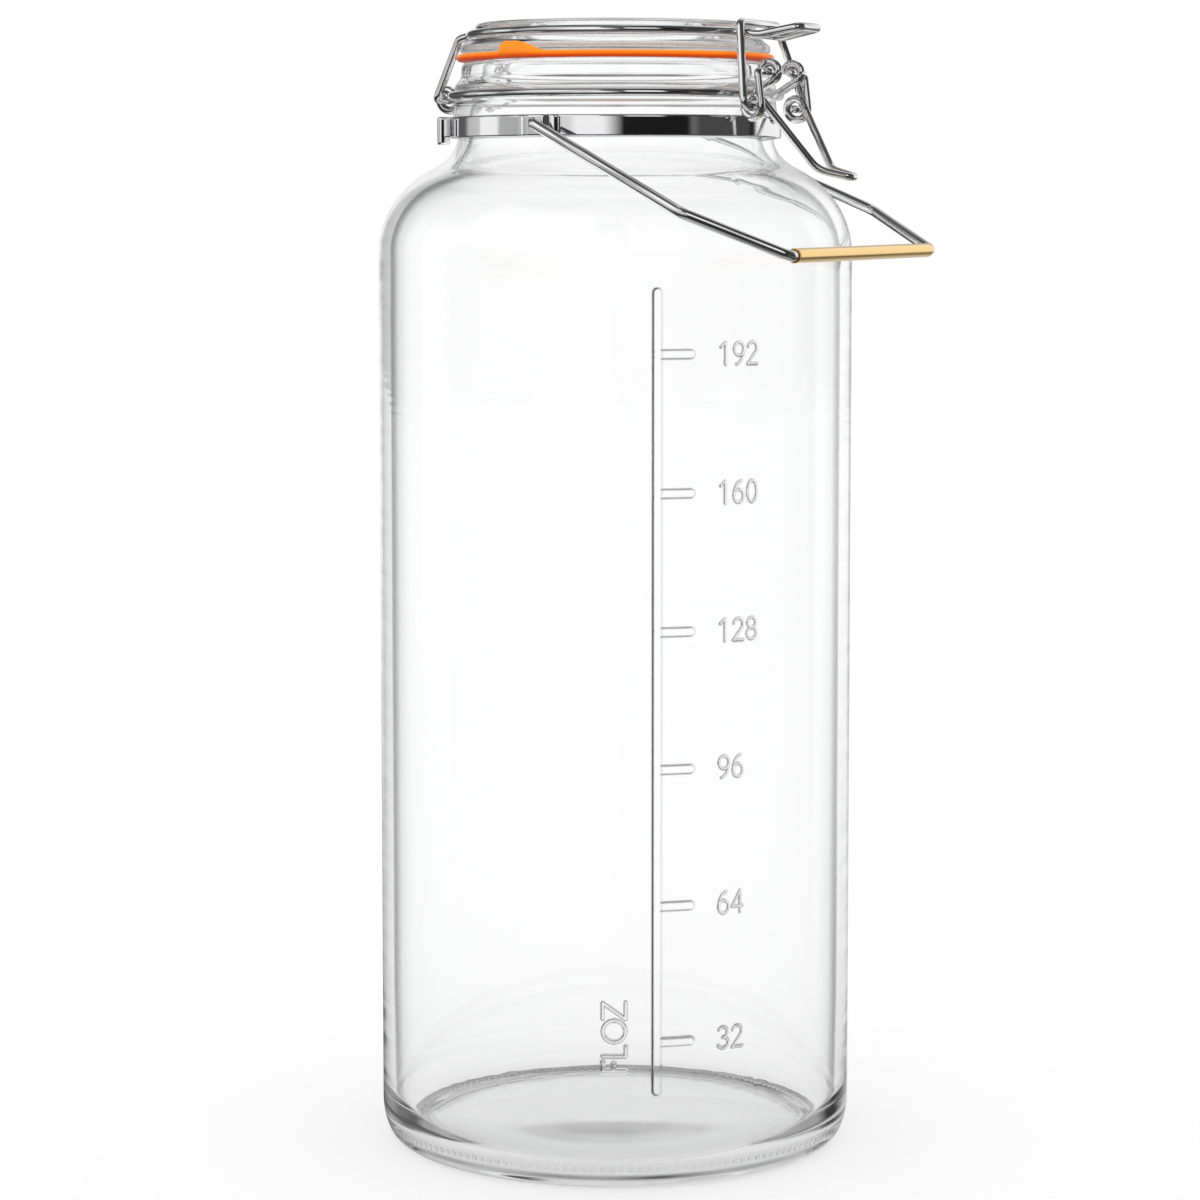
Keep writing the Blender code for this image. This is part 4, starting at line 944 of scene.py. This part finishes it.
def strip(name, route, bottom, top, thickness, material):
    """A strip standing on edge along a plan route, shaped (n, 2). Its section is a thin
    rectangle, half the thickness to each side of the route, with its edges eased. Each
    corner is two points a small share of the way along its two sides, for even shading."""
    heading = unit(np.gradient(route, axis=0))
    across = np.stack([heading[:, 1], -heading[:, 0]], 1)
    half, ease = thickness / 2, EASED_SHARE * thickness
    section = np.array([(-half, bottom + ease), (-half, top - ease), (-half + ease, top),
                        (half - ease, top), (half, top - ease), (half, bottom + ease),
                        (half - ease, bottom), (-half + ease, bottom)])
    section = np.repeat(section, 2, 0)
    toward = np.roll(section, -2, 0)
    section[1::2] = section[1::2] + (toward[1::2] - section[1::2]) * CORNER_SHARE
    section[::2] = section[::2] - (section[::2] - np.roll(section, 2, 0)[::2]) * CORNER_SHARE
    plan = route[:, None] + across[:, None] * section[None, :, :1]
    rings = np.concatenate([plan, np.broadcast_to(section[None, :, 1:], (*plan.shape[:2], 1))], -1)
    return skin(name, rings[:, ::-1], material)


def turned_plan(points, angle):
    """Plan points (x, y) turned about the jar's axis by an angle in degrees."""
    turn = math.radians(angle)
    return points @ np.array([[math.cos(turn), math.sin(turn)], [-math.sin(turn), math.cos(turn)]])


band_steel = polished_strip("polished_strap", (0.86, 0.86, 0.87), 0.05)
middle = (BAND_INNER + BAND_OUTER) / 2
ear_line = (EAR_GAP + BAND_OUTER - BAND_INNER) / 2
start_angle = math.degrees(math.asin(ear_line / middle))
loop = oval(0, 0, middle, middle, start_angle, 360 - start_angle, 240)
ear = middle + EAR_LENGTH
near_ear = bent([(ear, ear_line), (middle, ear_line), loop[3]], [0.0007])
route = np.concatenate([near_ear, loop[4:-4], (near_ear * (1, -1))[::-1]])
band = strip("neck_strap", turned_plan(route, CLASP_ANGLE), BAND_BOTTOM, BAND_TOP,
             BAND_OUTER - BAND_INNER, band_steel)
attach(band, "jar")
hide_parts("handle_band")

# Clasp: a short strip of the strap's own bright steel. It is folded over the strap's two
# ends and pinched flat, which holds the strap tight round the neck.
CLASP_THICKNESS = 0.0009
CLASP_DROP = 0.0024
STRIP_GAP = 0.0003

clasp_line = EAR_GAP / 2 + (BAND_OUTER - BAND_INNER) + STRIP_GAP + CLASP_THICKNESS / 2
fold = BAND_OUTER + EAR_LENGTH + STRIP_GAP + CLASP_THICKNESS / 2
root = BAND_OUTER + 0.0006
clasp_route = bent([(root, clasp_line), (fold, clasp_line), (fold, -clasp_line), (root, -clasp_line)],
                   [0.0008, 0.0008])
clasp = strip("strap_clasp", turned_plan(clasp_route[::-1], CLASP_ANGLE), BAND_BOTTOM - CLASP_DROP,
              BAND_TOP, CLASP_THICKNESS, band_steel)
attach(clasp, "jar")
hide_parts("band_clasp")

# Brackets: two pressed strips of the same steel, spot welded to the strap and raised in
# the middle. The handle's ends go in through their crowns and turn there.
BRACKET_HALF_WIDTH = 0.0075
BRACKET_RISE = 0.0022
BRACKET_THICKNESS = 0.0010
BRACKET_FLANGE = 0.0034
BRACKET_SLOPE = 0.0012
BRACKET_BEND = 0.0007

low_line = BAND_OUTER + STRIP_GAP + BRACKET_THICKNESS / 2
high_line = low_line + BRACKET_RISE
shelf = BRACKET_HALF_WIDTH - BRACKET_FLANGE
bracket_route = bent([(-BRACKET_HALF_WIDTH, low_line), (-shelf, low_line),
                      (-shelf + BRACKET_SLOPE, high_line), (shelf - BRACKET_SLOPE, high_line),
                      (shelf, low_line), (BRACKET_HALF_WIDTH, low_line)], [BRACKET_BEND] * 4)
for name, flip in (("handle_bracket_front", -1), ("handle_bracket_rear", 1)):
    route = bracket_route * (1, flip)
    bracket = strip(name + "_plate", route[::flip], BAND_BOTTOM, BAND_TOP, BRACKET_THICKNESS, band_steel)
    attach(bracket, "jar")
    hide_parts(name)

# Handle: a thick drawn steel wire with two bends on each side. Its ends turn in through
# the brackets, and it hangs down on the clamp's side.
HANDLE_WIRE = 0.0019
HANDLE_ARM_SIDE = 0.0649
HANDLE_REACH = 0.1050
HANDLE_BEND_DISTANCE = 0.0715
HANDLE_BEND_SIDE = 0.0840
HANDLE_GRIP_SIDE = 0.0650
HANDLE_DROOP = 25.0


def in_handle_plane(distance, side):
    """A point of the handle's plane: the distance runs out from the pivots and droops."""
    droop = math.radians(HANDLE_DROOP)
    pivot = joint_place["handle_swing"]
    return np.array([distance * math.cos(droop), side, pivot[2] - distance * math.sin(droop)])


handle_half = bent([
    in_handle_plane(0, BAND_OUTER + 0.0006), in_handle_plane(0, HANDLE_ARM_SIDE),
    in_handle_plane(HANDLE_BEND_DISTANCE, HANDLE_BEND_SIDE),
    in_handle_plane(HANDLE_REACH, HANDLE_GRIP_SIDE), in_handle_plane(HANDLE_REACH, 0),
], [0.0021, 0.0060, 0.0040])
handle_steel = drawn_steel("drawn_handle_wire", (0.88, 0.88, 0.89), 0.07)
handle = wire("carry_handle_wire", both_sides(handle_half), HANDLE_WIRE, handle_steel,
              (0.9, 0.0, 0.43), 28)
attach(handle, "handle")
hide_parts("handle_wire")

# Grip: a thin brass tube, polished and lacquered, that turns freely on the handle. Its
# ends are rolled in a little.
GRIP_INNER = 0.0021
GRIP_OUTER = 0.0025
GRIP_HALF = 0.0608
GRIP_EASE = 0.00012
GRIP_TURN = 7.5
BRASS_DEEP = (0.96, 0.60, 0.16)
BRASS_PALE = (1.0, 0.71, 0.26)


def polished_brass():
    """Polished brass under a warm lacquer, which scatters some of the light: gold with fine
    lines round the tube."""
    made, tree, shader = new_material("polished_brass")
    lines = noise(tree, "Object", (60.0, 3000.0, 60.0))
    feed(tree, shader, {"Metallic": 0.8, "Base Color": mixed(tree, lines, BRASS_DEEP, BRASS_PALE),
                        "Roughness": ramp(tree, lines, ((0.3, 0.08), (0.7, 0.14))),
                        "Coat Weight": 0.3, "Coat Roughness": 0.08})
    return made


grip_axis = in_handle_plane(HANDLE_REACH, 0)
ease = GRIP_EASE
tube_section = np.array([(GRIP_INNER, -GRIP_HALF + ease), (GRIP_INNER + ease, -GRIP_HALF),
                         (GRIP_OUTER - ease, -GRIP_HALF), (GRIP_OUTER, -GRIP_HALF + ease),
                         (GRIP_OUTER, -GRIP_HALF + 3 * ease), (GRIP_OUTER, GRIP_HALF - 3 * ease),
                         (GRIP_OUTER, GRIP_HALF - ease), (GRIP_OUTER - ease, GRIP_HALF),
                         (GRIP_INNER + ease, GRIP_HALF), (GRIP_INNER, GRIP_HALF - ease)])
turn = np.radians(np.arange(0, 360, GRIP_TURN))
flat = lathed(tube_section, turn)
grip = skin("brass_grip", np.stack([flat[..., 1], flat[..., 2], flat[..., 0]], -1) + grip_axis,
            polished_brass(), closed=True)
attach(grip, "grip")
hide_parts("handle_grip")
